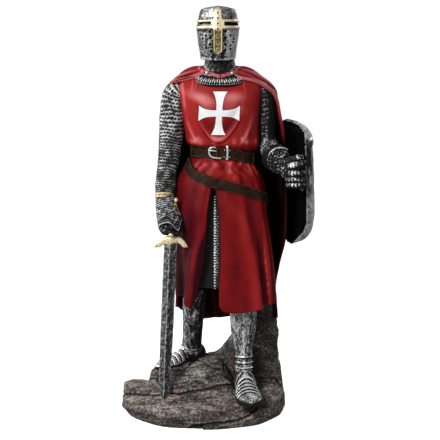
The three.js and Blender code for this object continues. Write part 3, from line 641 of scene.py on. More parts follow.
# surcoat: torso, sleeveless shoulders and the slit skirt in one cloth
surcoatRows = table([
    [254, 12, 1, 11, 9], [250.5, 12, 1, 23, 11.5], [246, 12, 0.5, 29, 14], [240, 12, -0.5, 30.6, 15.6],
    [230, 12.2, -1, 29, 17.2], [218, 12.6, -1, 27.4, 17], [208, 13.4, -1, 26.6, 16.8],
    [203, 13.8, -1, 26, 16.6], [200, 14, -1, 24, 15.4], [198.6, 14, -1, 21.4, 13.6], [194, 14, -1, 21, 13.4],
    [189, 13.8, -1, 23.4, 15], [182, 13.2, -1, 27.6, 17.6], [172, 12.4, -1, 31.6, 20],
    [160, 12.4, -1.2, 33, 21.6], [130, 14, -1.8, 34, 24], [104, 15.6, -2.4, 34.6, 26.6],
    [78, 16.8, -3, 35, 29],
])
# long folds: rows of [height, angle, half width in degrees, ridge]
skirtFolds = [table(rows) for rows in (
    [[190, -70, 5, 0.2], [163, -68, 7, 1.6], [139, -60, 7, 2.2], [111, -55, 8, 2.8], [80, -50, 9, 3.4]],
    [[190, -36, 5, 0.2], [157, -34, 6, 1.6], [126, -28, 6, 2.2], [80, -25, 6, 3]],
    [[190, -84, 5, 0.2], [165, -83, 6, 1.2], [139, -74, 6, 1.6], [118, -69, 6, 0.8], [100, -66, 6, 0]],
    [[180, -104, 5, 0.4], [168, -108, 7, 1.6], [133, -115, 9, 2.4], [115, -124, 10, 3.2],
     [80, -141, 12, 4.4]],
    [[180, -176, 9, 0.8], [160, -177, 10, 2], [120, -176, 10, 2.4], [80, -172, 11, 2.6]],
    [[150, -4, 6, 0.4], [120, -3, 7, 1.8], [80, -2, 8, 2.8]],
)]
waistCourse = table([[0, 191], [60, 195], [120, 197], [180, 196], [270, 195.4], [330, 190.6], [360, 191]])
hipCourse = table([[0, 161], [60, 168], [120, 183], [170, 187.5], [195, 186], [225, 181], [250, 176.6],
                   [275, 172.4], [300, 168.6], [330, 163.6], [360, 161]])
slitRight = table([[174, -98], [171, -96.5], [165, -93], [152, -91.2], [139, -91.4], [110, -93.5],
                   [92, -95.6], [78, -96]])
slitLeft = table([[174, -98], [171, -98.8], [165, -100.6], [152, -103.6], [139, -105.6], [126, -108.2],
                  [112, -112.4], [92, -119], [78, -121]])


def foldsAt(z, angle, valley):
    # how far the long folds stand out, with a valley at each side of every ridge
    total = 0
    for fold in skirtFolds:
        middle, width, ridge = fold(z)
        away = wrapped(angle - middle)
        beside = bump((np.abs(away) - 1.9 * width) / width)
        total = total + ridge * bump(away / width) - valley * ridge * beside
    return total


def swagHeight(x, z):
    # height over the cloth's lowest hanging fold on the chest
    return z - 203 - 14.5 * ((x - 11) / 14.7) ** 2


def chestRelief(x, z):
    breast = 1.3 * (bump((x - 1) / 11) + bump((x - 23) / 11)) * bump((z - 229) / 9)
    swag = swagHeight(x, z)
    reach = fall(np.abs(x - 11.7), 11, 17)
    return breast + reach * (1.2 * bump((swag - 1.5) / 2) - 0.7 * bump((swag + 0.6) / 0.9)
                             - 1.1 * bump((swag - 9) / 6))


def surcoatPoint(z, angle, inset=0.0):
    turn = np.radians(angle)
    cosine, sine = np.cos(turn), np.sin(turn)
    sag = 4.5 * rise(cosine, 0, 0.8) * bump((z - 194) / 14)
    x, y, wide, deep = surcoatRows(z + sag)
    baseX, baseY = x + wide * rounded(cosine, 2.35), y + deep * rounded(sine, 2.35)
    out = -inset + np.where((z > 198.6) & (sine < 0), chestRelief(baseX, z) * -sine, 0)
    gather = rise(z - hipCourse(angle % 360)[0], -3, 4) * fall(z, 188, 192) * rise(-sine, 0, 0.4)
    out = out + np.where(z < 190, foldsAt(z, angle, 0.35) + 0.5 * gather * np.cos(turn * 15), 0)
    outward = unit(np.stack([cosine / wide, sine / deep], -1))
    return np.stack([baseX + outward[..., 0] * out, baseY + outward[..., 1] * out, z], -1)


def hemHeight(angle):
    away = wrapped(angle + 90)
    return 84 - 3 * bump((away - 12) / 22) + 6 * rise(-away, 38, 66) + 1.2 * bump((away - 62) / 14)


# how the skirt is lit in paint: rows of
# [height, bright fold at, lit fold of the left flap at, dark side from, glow, dusk]
skirtTones = table([[174, 18, 9, 44, 0.1, 0.02], [162, 20.6, 5.6, 43, 0.18, 0.08],
                    [145, 27.7, 3, 43, 0.2, 0.16], [126, 32.5, -3, 44, 0.1, 0.2],
                    [102, 34.8, -6.6, 46.4, 0.04, 0.22], [78, 36, -10, 49, 0.02, 0.22]])
surcoatSizes = {"columns": 190, "rows": 180, "wall": 2.4, "top": 254, "slit": 174, "hip": 168, "hem": 84}
drops = np.linspace(surcoatSizes["top"], surcoatSizes["hem"], 900)
ringWide = surcoatRows(drops)[2]
fallen = np.concatenate([[0], np.cumsum(np.hypot(np.diff(drops), 0.8 * np.diff(ringWide)))])
turns = np.linspace(0, 1, 400)  # columns stand closer together at the front than under the cape
crowd = np.cumsum(np.where((turns > 0.36) & (turns < 0.64), 0.35, 1.0))
crowd = (crowd - crowd[0]) / (crowd[-1] - crowd[0])


def surcoatPlace(u, v):
    # height and angle of a place on the cloth
    z = np.interp(np.clip(v, 0, 1) * fallen[-1], fallen, drops)
    sweep = np.interp(np.clip(u, 0, 1), crowd, turns) + beyond(u)
    slit = np.minimum(z, surcoatSizes["slit"])
    right, left = slitRight(slit)[0], slitLeft(slit)[0]
    angle = right + sweep * (360 + left - right)
    corner = 4.6 * fall(sweep, -0.006, 0.014) + 8.5 * fall(1 - sweep, 0.0, 0.036)  # round corners of the slit
    hip, long = surcoatSizes["hip"], surcoatSizes["hip"] - surcoatSizes["hem"]
    lower = hip + (z - hip) * (hip - hemHeight(angle) - corner * rise(hip - z, 40, long)) / long
    return np.where(z < hip, lower, z), angle


def surcoatForm(u, v):
    return surcoatPoint(*surcoatPlace(u, v))


def surcoatRelief(u, v, spots):
    z, angle = surcoatPlace(u, v)
    x, turn = spots[:, 0], np.radians(angle)
    front = rise(-np.sin(turn), 0, 0.5)
    height = 0.18 * ripple(spots, 17, 3) * rise(254 - z, 0, 10)
    # creases over the belt, at the swag's ends and below the shoulders
    blouse = bump((z - 203.5) / 4) * front
    height = height + blouse * (0.24 * np.cos(turn * 15 + 0.6) + 0.12 * np.cos(turn * 29))
    for cx, cz, lean, length, wide, tall in (
        (-7.5, 243.5, 0.12, 4.5, 0.9, 0.55), (-4.6, 244.5, 0.2, 3.8, 0.8, 0.4),
        (29.5, 243, -0.2, 5, 1.0, 0.4), (-6, 206, -0.5, 5.5, 1.3, 0.7), (-10, 214, -0.35, 7, 1.5, 0.5),
        (29.5, 206, 0.55, 6, 1.3, 0.8), (33, 214, 0.35, 8, 1.5, 0.5), (24.5, 222, 0.5, 6, 1.2, 0.35),
        (-2.5, 222, -0.5, 6, 1.2, 0.35), (6, 204.5, -0.8, 4, 1.0, 0.5), (18, 204.5, 0.8, 4, 1.0, 0.5),
    ):
        across = (x - cx) - lean * (z - cz)
        height = height + tall * front * bump(across / wide) * bump((z - cz) / length)
    # puffs under the waist belt that die out downwards, and soft folds down the skirt
    overBelt = rise(z - hipCourse(angle % 360)[0], 1, 6)
    puff = overBelt * fall(z, 188, 191) * rise(z, 170, 186) * front
    bunch = (np.abs(np.cos(turn * 9.5 + 0.9 + 0.9 * ripple(spots, 13, 4) + 0.05 * (z - 185)))
             * (0.75 + 0.5 * ripple(spots, 9, 6)))
    height = height + puff * (0.9 * bunch + 0.25 * ripple(spots, 3.6, 7) - 0.3)
    skirt = rise(170 - z, 0, 30) * front
    height = height + skirt * 0.22 * np.cos((angle + 0.12 * (160 - z)) * 0.31 + 1)
    # painted highlights: glints on the creases by the belt and broad sheens on both breasts
    glints = (0.34 * (bump((x + 5.8 - 0.5 * (z - 204.4)) / 1.6) + bump((x - 28.7 + 0.5 * (z - 204.8)) / 1.6))
              * bump((z - 204.4) / 2))
    glints = (glints + 0.34 * bump((x + 2) / 10) * bump((z - 235 + 0.3 * (x + 3)) / 3.4)
              + 0.34 * bump((x - 21.6) / 7.5) * bump((z - 235.6) / 3.2))
    swag = swagHeight(x, z)
    bowl = fall(np.abs(x - 11), 13, 17)
    # painted highlight along the swag's fold, painted shade in the crease under it and faintly inside its
    # bowl
    swagLight = bowl * (0.24 * bump((swag - 2.4) / 1.4) * bump((x - 11) / 10) - 0.3 * bump((swag + 0.2) / 0.8)
                        - 0.1 * bump((swag - 9) / 4))
    chest = 0.57 + 0.1 * chestRelief(x, z) * front + 0.3 * height + (glints + swagLight) * front
    # painted highlights on the blouse over the belt and along the edge of the armhole
    chest = (chest + 0.1 * bump((z - 203) / 3) * front + 0.2 * bump((x + 14.6 + 0.1 * (z - 240)) / 1.0)
             * rise(z, 222, 234) * front)
    bright, light, edge, glow, dusk = skirtTones(z)
    # painted light on the skirt: highlights on the puffs and folds, the left flap's lit fold, painted shade
    # over the rest of that flap, and a bright line on the fold edge low on the right
    cloth = 0.36 + 0.03 * foldsAt(z, angle, 0.6) + 0.2 * height + 0.34 * puff * bunch
    cloth = cloth + 0.16 * bump((x - bright) / 5) * rise(168 - z, 0, 14) * front
    cloth = cloth + np.where(x < 9, -0.24 * rise(x - light, -1, 0.6) + glow * bump((x - light + 2.6) / 2.6)
                             - dusk, 0) * (z < 172)
    low = rise(140 - z, 0, 20) * front
    cloth = (cloth + 0.1 * rise(x - edge, -1, 0.5) - 0.08 * bump((x - edge + 3) / 2.2) * low
             + 0.36 * bump((x - edge) / 0.5) * low)
    # painted shade: the sides, turned from the light, are darker, the cloth darkens up towards the waist
    # belt, and a painted shadow lies along the blouse's edge over the belt
    cloth = cloth - 0.16 * (1 - front) - 0.14 * rise(z, 188, 196)
    brushAndLight = np.where(z > 197, chest, cloth) - 0.28 * bump((z - 198.8) / 2.2)
    return height, brushAndLight


surcoat = skin("surcoat", surcoatSizes["columns"], surcoatSizes["rows"], surcoatForm, surcoatRelief)
thicken(surcoat, surcoatSizes["wall"])
finished(surcoat, torsoRed)
print("surcoat", len(surcoat.data.polygons))

# mail skirt behind the slit, closed across the legs
hauberkSizes = {"columns": 260, "rows": 200, "top": 176, "bottom": 98, "inset": 4.4}


def hauberkForm(u, v):
    z = lerp(hauberkSizes["top"], hauberkSizes["bottom"], v)
    angle = -135 + 360 * np.interp(u, [0, 0.5, 1], [0, 0.135, 1]) + 360 * beyond(u)
    return (surcoatPoint(np.maximum(z, 80), angle, hauberkSizes["inset"]) * [1, 1, 0]
            + np.stack([0 * z, 0 * z, z], -1))


def hauberkRelief(u, v, spots):
    t = (hauberkSizes["top"] - hauberkSizes["bottom"]) * v
    s = np.interp(u, [0, 0.5, 1], [0, 24, 150])
    rings = links(s, t, 2.0, 1.75, (1.05, 1.2), 0.36)
    front = fall(u, 0.46, 0.5)
    x, z = spots[:, 0], spots[:, 2]
    # painted light: the rings in the slit are painted dark, in shade, but for a lit strip by the right flap,
    # dimmer at its top and bottom
    strip = (rise(x, 6.6, 8) * fall(x, 10.6, 12) * (0.25 + 0.75 * rise(168 - z, 4, 24))
             * (0.55 + 0.45 * rise(z, 100, 118)))
    beads = bump((x - 8.4) / 0.7) * (0.45 + 0.55 * np.cos(z * math.pi)) * (z < 164)
    beads = (beads + 0.5 * bump((x - 3.6 - 0.1 * (z - 130)) / 0.5) * (0.3 + 0.7 * np.cos(z * 2.2))
             * bump((z - 132) / 22))
    return ((0.5 * rings + 0.6 * np.maximum(beads, 0)) * front,
            (rings * (0.12 + 0.45 * strip) + 0.85 * np.maximum(beads, 0)) * front)


hauberk = skin("mail_skirt", hauberkSizes["columns"], hauberkSizes["rows"], hauberkForm, hauberkRelief,
               fill=True)
finished(hauberk, mailPaint)
print("mail skirt", len(hauberk.data.polygons))


# cape
capeRows = table([
    [0, 11.5, 1.5, 12.4, 10.5, 256.5, -58, 238], [0.05, 11.5, 1.5, 18, 12.5, 254.5, -54, 232],
    [0.1, 11.4, 2, 26, 15, 251.5, -46, 226], [0.16, 11.6, 2.5, 34.6, 18, 246, -34, 198],
    [0.22, 12.3, 3, 40.5, 20, 237, -20, 178], [0.3, 13, 3.5, 42.6, 22, 224, -9, 168],
    [0.4, 14.4, 4, 44.6, 24, 203, -3, 163], [0.55, 16, 4.5, 45, 26, 170, 0, 162],
    [0.72, 18, 4.5, 43, 28, 132, 1, 161], [0.82, 16.6, 4.5, 39.6, 29.5, 109, 4, 162],
    [0.9, 15.8, 4.5, 38, 31, 91, 6, 162], [1, 16.2, 4.5, 39.5, 33, 67, 10, 162],
])
capeSizes = {"columns": 150, "rows": 190, "edge": 2.2}


def capeForm(u, v):
    x, y, wide, deep, z, start, end = capeRows(v)
    turn = np.radians(lerp(start, end, u))
    fold = rise(v, 0.12, 0.9) * (2.7 * np.cos(turn * 6.4 + 0.9) + 0.8 * np.cos(turn * 13 + 2))
    fold = fold * rise(u, 0.02, 0.2) * fall(u, 0.86, 0.99)
    out = fold + 1.1 * bump((v - 0.13) / 0.08) * np.cos(turn * 9)
    lift = 2.5 * bump((v - 0.07) / 0.06) * np.abs(np.cos(turn))
    throat = (1.3 * bump(u / 0.13) + bump((1 - u) / 0.13)) * bump((v - 0.06) / 0.08)
    out, lift = out + 1.6 * throat, lift - 4.4 * throat
    hem = rise(v, 0.8, 1) * (3 * np.cos(turn * 3.4) - 7 * rise(u, 0.8, 1) - 5 * fall(u, 0, 0.12))
    outward = unit(np.stack([np.cos(turn) / wide, np.sin(turn) / deep], -1))
    return np.stack([x + wide * np.cos(turn) + outward[..., 0] * out,
                     y + deep * np.sin(turn) + outward[..., 1] * out, z + lift - hem], -1)


def capeRelief(u, v, spots):
    turn = np.radians(lerp(*capeRows(v)[5:], u))
    ends = bump(u / 0.2) + bump((1 - u) / 0.2)
    pleats = ends * rise(v, 0.01, 0.06) * fall(v, 0.2, 0.34)
    height = pleats * (0.7 * np.cos(u * 88 + 14 * v) + 0.5 * np.cos(u * 56 - 9 * v + 1))
    roll = 0.9 * (bump(u / 0.025) + bump((1 - u) / 0.025)) * fall(v, 0.3, 0.5)
    height = height + roll + 0.25 * ripple(spots, 22, 5) * rise(v, 0.1, 0.3)
    fine = rise(v, 0.25, 0.6) * (0.5 * np.cos(turn * 19 + 3 * v) + 0.25 * np.cos(turn * 31 - 5 * v))
    height = height + fine * (1 - 0.7 * (bump(u / 0.05) + bump((1 - u) / 0.05)))
    fold = rise(v, 0.12, 0.9) * (np.cos(turn * 6.4 + 0.9) + 0.3 * np.cos(turn * 13 + 2))
    low = rise(v, 0.2, 0.55)
    # painted light: highlights on the folds, pleats and rolled edges, and painted shade lower down the cape
    brushAndLight = 0.62 + 0.06 * fold + lerp(0.36, 0.1, low) * height - 0.42 * low
    return height, brushAndLight


cape = skin("cape", capeSizes["columns"], capeSizes["rows"], capeForm, capeRelief)
outside = thicken(cape, capeSizes["edge"])[0]
brushAndLight, spots = getBrushAndLight(cape), readPoints(cape) / mm
shade = 0.34 * bump((spots[:, 2] - 188) / 30) + 0.06  # painted shade: the lining is darker, and black behind the shield arm, where the shade falls
brushAndLight[outside:] -= (shade * (spots[:, 2] < 232))[outside:]
nearArm = (rise(spots[:, 2], 160, 172) * fall(spots[:, 2], 196, 206) * rise(spots[:, 0], 46, 52)
           * fall(spots[:, 1], 3, 12))
setBrushAndLight(cape, brushAndLight - 0.45 * nearArm)
finished(cape, capeRed)
print("cape", len(cape.data.polygons))

# rolled band of the cape across the throat
throatSizes = {"half": 1.3, "tall": 1.9, "columns": 24, "rows": 90}
bandCurve = curveThrough([[-3, -3, 255], [2.6, -10.5, 251.8], [11.6, -14, 249.6], [20.6, -10.5, 251.8],
                          [26, -3, 255]])


def bandRelief(u, v, spots):
    twist = np.cos(4 * math.pi * u + 9 * v)
    return 0.12 * twist, 0.9 + 0.12 * twist + 0.3 * ripple(spots, 3, 23)


throatBand = skin("throat_band", throatSizes["columns"], throatSizes["rows"],
                  barAlong(bandCurve, throatSizes["half"], throatSizes["tall"], (0.0, 0.0, 1.0), 0.003),
                  bandRelief, fill=True)
finished(throatBand, capeRed)


# mail over the neck, the arms and the hands
def mailSkin(name, form, grid=0.42, pitch=2.2, drop=1.95, size=(1.0, 0.88), tall=0.55, lean=0.2, shade=0.85,
             extra=None):
    around, along = measured(form)
    count = max(6, round(around / pitch))

    def relief(u, v, spots):
        sway = 0.5 * ripple(spots, 14, 12)
        rings = links(u * count * pitch, v * along + sway, pitch, drop, size, 0.36, lean)
        uneven = 0.85 + 0.25 * ripple(spots, 7, 11) + 0.15 * ripple(spots, 2.2, 14)
        height, brushAndLight = tall * rings, shade * rings * uneven
        if extra:
            height, brushAndLight = extra(u, v, spots, height, brushAndLight)
        return height, brushAndLight

    return skin(name, round(around / grid), round(along / grid), form, relief, fill=True)


def crushed(u, v, spots, height, brushAndLight):
    # the rings of the hanging cuff catch the brush unevenly
    patch = ripple(spots, 2.6, 15)
    return height + 0.25 * patch, brushAndLight * (0.8 + 0.5 * patch) + 0.12 * patch


def cuffLight(u, v, spots, height, brushAndLight):
    # painted highlights where the light falls: a thin rolled rim round the glove, bright rings inside it and
    # only one bright patch behind it
    px, py = frontView(spots)
    arc = np.hypot(px - 280, py - 160) - 11.7
    rim = bump(arc / 0.6) * fall(px, 287, 289) * (0.45 + 0.4 * rise(157 - py, 0, 6))
    blot = rise(ripple(spots, 2.4, 15), -0.5, 0.6)
    share = (0.1 + 1.1 * bump(np.hypot((px - 266) / 4.5, (py - 148.5) / 3))
             + (0.55 + 0.3 * bump(np.hypot(px - 283, py - 158.5) / 4)) * rise(-arc, 0.8, 1.6))
    return height + 0.2 * blot + 0.5 * bump(arc / 0.7), brushAndLight * share * (0.25 + blot) + rim


def upperLight(u, v, spots, height, brushAndLight):
    # painted light: the right sleeve is a little brighter at the shoulder
    return height, brushAndLight * lerp(0.78, 0.98, rise(spots[:, 2], 180, 218))


def sleeveLight(u, v, spots, height, brushAndLight):
    # painted light: only the middle of the sleeve, where the light falls, is bright
    return (height, brushAndLight * (0.15 + 1.6 * bump((frontView(spots)[0] - 265) / 4))
            * (0.8 + 0.4 * ripple(spots, 2.4, 18)))


armStations = {
    "right": [[-11, 3, 240, 7, 7], [-19.6, 2.4, 236.4, 9, 9], [-22.4, 1.4, 222, 8.9, 8.8],
              [-23.6, 0.5, 206, 8.3, 8.2], [-24.8, -1, 194, 7.6, 7.6], [-26.6, -4.6, 181, 6.8, 6.8],
              [-27.8, -7.6, 171, 6.8, 6.8], [-28.6, -9.6, 163.5, 5.6, 5.6], [-28.4, -11, 158, 5.2, 5.2]],
    "leftUpper": [[38, 3, 241, 8, 8], [42.3, 2.6, 236, 8.6, 8.6], [44, 2.6, 222, 7.6, 7.8],
                  [45, 3, 208, 7, 7.2], [46.4, 1.6, 200, 7.2, 7.2], [48.5, -2, 196, 6.8, 6.8]],
    "leftFore": [[45.6, 3, 201, 6.6, 6.6], [49, -4, 196, 6.8, 6.8], [52.4, -10, 191.8, 6.6, 6.6],
                 [56, -15, 188.4, 5.4, 5.4]],
    "leftCuff": [[50.6, -8, 193, 9, 9], [52.2, -10.6, 191.3, 9.5, 9.5], [54, -13, 189.6, 8.4, 8.4],
                 [57.4, -17, 187.2, 6, 6]],
}
rightArm = mailSkin("mail_sleeve_right", limbForm(armStations["right"]), extra=upperLight)
finished(rightArm, mailPaint)
# the left upper arm lies in the cape's shade and is painted darker than the forearm and the cuff
leftArm = joined("mail_sleeve_left",
                 mailSkin("upper", limbForm(armStations["leftUpper"]), 0.46, shade=0.46, extra=sleeveLight),
                 mailSkin("fore", limbForm(armStations["leftFore"]), 0.46, shade=0.75, lean=0.5),
                 mailSkin("cuff", limbForm(armStations["leftCuff"]), 0.42, 1.9, 1.8, (0.85, 0.85), 0.7, 0.6,
                          shade=0.95, extra=cuffLight))
finished(leftArm, mailPaint)
print("sleeves", len(rightArm.data.polygons), len(leftArm.data.polygons))

coifRows = table([
    [0, 266, 0, 0, 9.6, 9.6, 2], [1, 254.5, 0, -0.5, 11.6, 11.2, 2], [2, 249.5, 3, -1.5, 15, 13.2, 2.5],
    [3, 244.8, 4.6, -2.4, 18.2, 14.9, 3], [4, 243.4, 4.8, -2.5, 17.8, 14.2, 3],
    [5, 241.5, 4.6, -2, 14, 12, 3],
])
coifSizes = {"x": 11.8, "wide": 18, "deep": 14.8, "power": 2.75, "columns": 300, "rows": 84, "pitch": 2.2,
             "long": 66}
lap = np.linspace(0, 2 * math.pi, 1200)
lapX = coifSizes["wide"] * rounded(np.cos(lap), coifSizes["power"])
lapY = coifSizes["deep"] * rounded(np.sin(lap), coifSizes["power"])
lapLong = np.concatenate([[0], np.cumsum(np.hypot(np.diff(lapX), np.diff(lapY)))])


def coifTurn(u):
    # evenly spaced along the collar's squarish outline
    return np.interp((u % 1.0) * lapLong[-1], lapLong, lap)


def coifForm(u, v):
    z, climb, y, wide, deep, power = coifRows(np.interp(v, [0, 0.4, 0.62, 0.86, 0.92, 1], [0, 1, 2, 3, 4, 5]))
    turn = coifTurn(u)
    x, front = rounded(np.cos(turn), power), rounded(np.sin(turn), power)
    return np.stack([coifSizes["x"] + wide * x, y + deep * front,
                     z + climb * (1 - np.maximum(0, -np.sin(turn)))], -1)


def coifRelief(u, v, spots):
    # small rings on the neck, and a collar of long rings that stand radially
    neck = links(u * 34 * coifSizes["pitch"], v * 36, coifSizes["pitch"], 1.9, (1.0, 0.9), 0.34)
    column = u * coifSizes["long"]
    even = np.floor(column) % 2
    away = column - np.floor(column) - 0.5
    long = bump(away / 0.27) * bump((v - 0.74 - 0.03 * even) / 0.085)
    collar = np.maximum(long, 0.75 * bump((v - 0.875) / 0.02) * bump(away / 0.4))
    share = rise(v, 0.58, 0.64)
    height = lerp(0.45 * neck, 0.75 * collar, share)
    x = spots[:, 0]
    # painted light: the neck is brighter at its sides and low on its left, darker in the middle
    neckLight = (0.34 + 0.42 * bump((np.abs(x - coifSizes["x"]) - 11) / 5) + 0.4 * bump((v - 0.5) / 0.12)
                 * bump((x - 2) / 7))
    return height, lerp(0.85 * neck * (neckLight + 0.3 * ripple(spots, 4, 13)), 1.0 * collar, share)


coif = skin("mail_coif", coifSizes["columns"], coifSizes["rows"], coifForm, coifRelief, fill=True)
finished(coif, mailPaint)
print("coif", len(coif.data.polygons))

# belts
beltSizes = {"half": 3.8, "columns": 260, "rows": 22, "wide": 27, "deep": 18}
beltSection = table([  # share of the way over the face, place across, height out
    [0, 1, -2], [0.08, 1.0, 0.5], [0.14, 0.97, 1.35], [0.19, 0.88, 1.6], [0.24, 0.8, 1.35],
    [0.29, 0.72, 1.15],
    [0.5, 0, 1.3], [0.71, -0.72, 1.15], [0.76, -0.8, 1.35], [0.81, -0.88, 1.6], [0.86, -0.97, 1.35],
    [0.92, -1.0, 0.5], [1, -1, -2],
])


def beltWay(angle):
    # the way that the belts face
    turn = np.radians(angle)
    return unit(np.stack([np.cos(turn) / beltSizes["wide"], np.sin(turn) / beltSizes["deep"], 0 * turn], -1))


def beltForm(course, half):
    def form(u, v):
        angle = 360 * u
        middle = course(angle % 360)[0]
        across, out = beltSection(v)
        high = middle + across * half
        place = sum(surcoatPoint(high, angle + step) for step in (-7, -3.5, 0, 3.5, 7)) / 5
        flat = surcoatPoint(middle, angle)
        place = lerp(place, np.stack([flat[:, 0], flat[:, 1], high], -1), 0.35)
        return place + beltWay(angle) * (out + 0.3)[:, None]

    return form


def beltRelief(u, v, spots):
    across, out = beltSection(v)
    wear = ripple(spots, 6, 8)
    edge = bump((np.abs(across) - 0.88) / 0.07)
    stitch = bump((np.abs(across) - 0.66) / 0.05) * np.cos(u * 900)
    return (0.08 * wear + 0.08 * stitch, 0.36 + 0.5 * edge - 0.35 * bump((np.abs(across) - 0.74) / 0.05)
            + 0.08 * wear)


def belt(name, course, half):
    piece = skin(name, beltSizes["columns"], beltSizes["rows"], beltForm(course, half), beltRelief)
    editOpenEdges(piece)
    bpy.ops.mesh.bridge_edge_loops()  # the side that lies on the cloth
    bpy.ops.mesh.select_all(action="SELECT")
    bpy.ops.mesh.normals_make_consistent(inside=False)
    done()
    finished(piece, beltPaint, 50)


belt("waist_belt", waistCourse, beltSizes["half"])
belt("hip_belt", hipCourse, beltSizes["half"] - 0.1)


def tube(name, points, radius, sides=12, steps=80, squash=1.0):
    form = barAlong(curveThrough([list(point) for point in points]), radius, radius * squash,
                    (0.12, 1.0, 0.05), 0.004)
    return skin(name, sides, steps, form, evenTone(0.85), fill=True)


def stud(name, spot, out, radius, tall, sides=12):
    # a low round-headed pin: a cylinder whose outer rim is bevelled
    deselect()
    turn = Vector(out).to_track_quat("Z", "Y").to_euler()
    bpy.ops.mesh.primitive_cylinder_add(vertices=sides, radius=radius * mm, depth=tall * 2 * mm,
                                        location=Vector(spot) * mm, rotation=turn)
    piece = called(name)
    settle()
    way = np.array(out, float)
    editFaces(piece, lambda middle, normal: normal @ way > 0.9)
    bpy.ops.mesh.bevel(offset=min(radius, tall) * 0.6 * mm, segments=3)
    done()
    setBrushAndLight(piece, np.full(len(piece.data.vertices), 0.8))
    return piece


# buckle: a bow that opens to the left, its prong, and a bar that stands over the strap
buckleSizes = {"bow": 0.68, "bar": 0.85, "prong": 0.5, "proud": 2.4, "middle": 195.3, "knob": 0.7}
beltTurns = np.radians(np.linspace(215, 325, 60))
beltLine = surcoatPoint(np.full(60, buckleSizes["middle"]), np.degrees(beltTurns))


def beltFace(x, z, out=0.0):
    # a place on the front of the waist belt
    return (x, float(np.interp(x, beltLine[:, 0], beltLine[:, 1])) - buckleSizes["proud"] - out, z)


bow = tube("bow", [beltFace(8.8, 199.3, -0.7), beltFace(6.4, 199.4), beltFace(4.8, 198.6, 0.2),
                   beltFace(4.2, 196.4, 0.3), beltFace(4.7, 194, 0.2), beltFace(6.3, 192.5, 0.1),
                   beltFace(9.4, 191.8), beltFace(12.9, 191.6, -0.7)],
           buckleSizes["bow"], 12, 70)
bar = tube("bar", [beltFace(17.0, 190.7, -0.2), beltFace(17.3, 192, 0.3), beltFace(17.4, 195.5, 0.4),
                   beltFace(17.3, 199.2, 0.3), beltFace(17.1, 200.6, -0.2)], buckleSizes["bar"], 12, 50)
prong = tube("prong", [beltFace(4.4, 197.2, 0.5), beltFace(6, 197.2, 0.8), beltFace(8.4, 196.9, 0.5),
                       beltFace(10, 196.6, -0.5)],
             buckleSizes["prong"], 10, 36)
knobs = [stud("knob", beltFace(x, z, 0.1 - buckleSizes["proud"] + 2.1), (0, -1, 0), radius,
              buckleSizes["knob"], 10)
         for x, z, radius in ((17.3, 199.9, 1.05), (17.2, 191.4, 1.05), (15.3, 197.6, 0.42),
                              (19.1, 197.2, 0.42), (19.0, 192.4, 0.42), (15.0, 192.6, 0.42))]
buckle = joined("buckle", bow, bar, prong, *knobs)
finished(buckle, bucklePaint)


def onBelt(angle, out):
    # a place on the waist belt and the way that it faces
    return surcoatPoint(waistCourse(np.array([angle]))[0], np.array([float(angle)]), -out)[0], beltWay(angle)


holeSizes = {"radius": 0.55, "tall": 0.12, "out": 1.75}
keeperSizes = {"thick": 1.5, "over": 1.1, "round": 0.4, "out": 2.0}
studSizes = {"radius": 0.85, "tall": 0.7}
holes = joined("belt_holes",
               *[stud("hole", *onBelt(angle, holeSizes["out"]), holeSizes["radius"], holeSizes["tall"], 10)
                               for angle in (222, 230, 238, 289, 296, 303, 310)])
finished(holes, blackPaint, 40)


def keeper(angle, wide):
    # a leather loop across the belt
    spot, way = onBelt(angle, keeperSizes["out"])
    along = unit(np.cross(way, [0.0, 0.0, 1.0]))
    deselect()
    bpy.ops.mesh.primitive_cube_add(size=1)
    piece = called("keeper")
    axes = Matrix((along, way, (0, 0, 1))).transposed().to_4x4()
    piece.matrix_world = Matrix.Translation(Vector(spot) * mm) @ axes @ Matrix.Diagonal(
        (wide * mm, keeperSizes["thick"] * mm, (2 * beltSizes["half"] + keeperSizes["over"]) * mm, 1))
    settle()
    change(piece, "BEVEL", width=keeperSizes["round"] * mm, segments=3, limit_method="ANGLE",
           angle_limit=math.radians(30))
    setBrushAndLight(piece, np.full(len(piece.data.vertices), 0.55))
    return piece


keepers = joined("belt_keepers", keeper(190, 1.6), keeper(262, 1.5), keeper(345, 2.0))
finished(keepers, beltPaint, 40)
studs = joined("throat_studs",
               *[stud("stud", spot, (side * 0.4, -1, 0.3), studSizes["radius"], studSizes["tall"])
                                 for spot, side in (((2.5, -12.4, 252.6), -1), ((20.4, -12.8, 252.3), 1))])
finished(studs, whitePaint)
print("belts, buckle and studs", len(buckle.data.polygons))

# gold band round the right wrist
wristSizes = {"columns": 64, "rows": 22}
bandStations = [[-28.6, -9.1, 165.2, 6.2, 6.2], [-28.6, -9.6, 163.6, 6.3, 6.3], [-28.6, -10, 162, 6.1, 6.1]]


def wristRelief(u, v, spots):
    rails = bump((v - 0.2) / 0.13) + bump((v - 0.8) / 0.13)
    ends = rise(v, 0.0, 0.06) * fall(v, 0.94, 1)
    return 0.55 * rails * ends, 0.35 + 0.6 * rails


wristBand = skin("wrist_band", wristSizes["columns"], wristSizes["rows"], limbForm(bandStations), wristRelief,
                 fill=True)
finished(wristBand, goldPaint, 60)

# hands
gripMiddle = (68.8, -21.5, 180.0)
handSizes = {"grid": 0.42, "pitch": 1.9, "drop": 1.8, "ring": (0.85, 0.85), "tall": 0.4, "palmGrid": 0.44,
             "palmTall": 0.5}


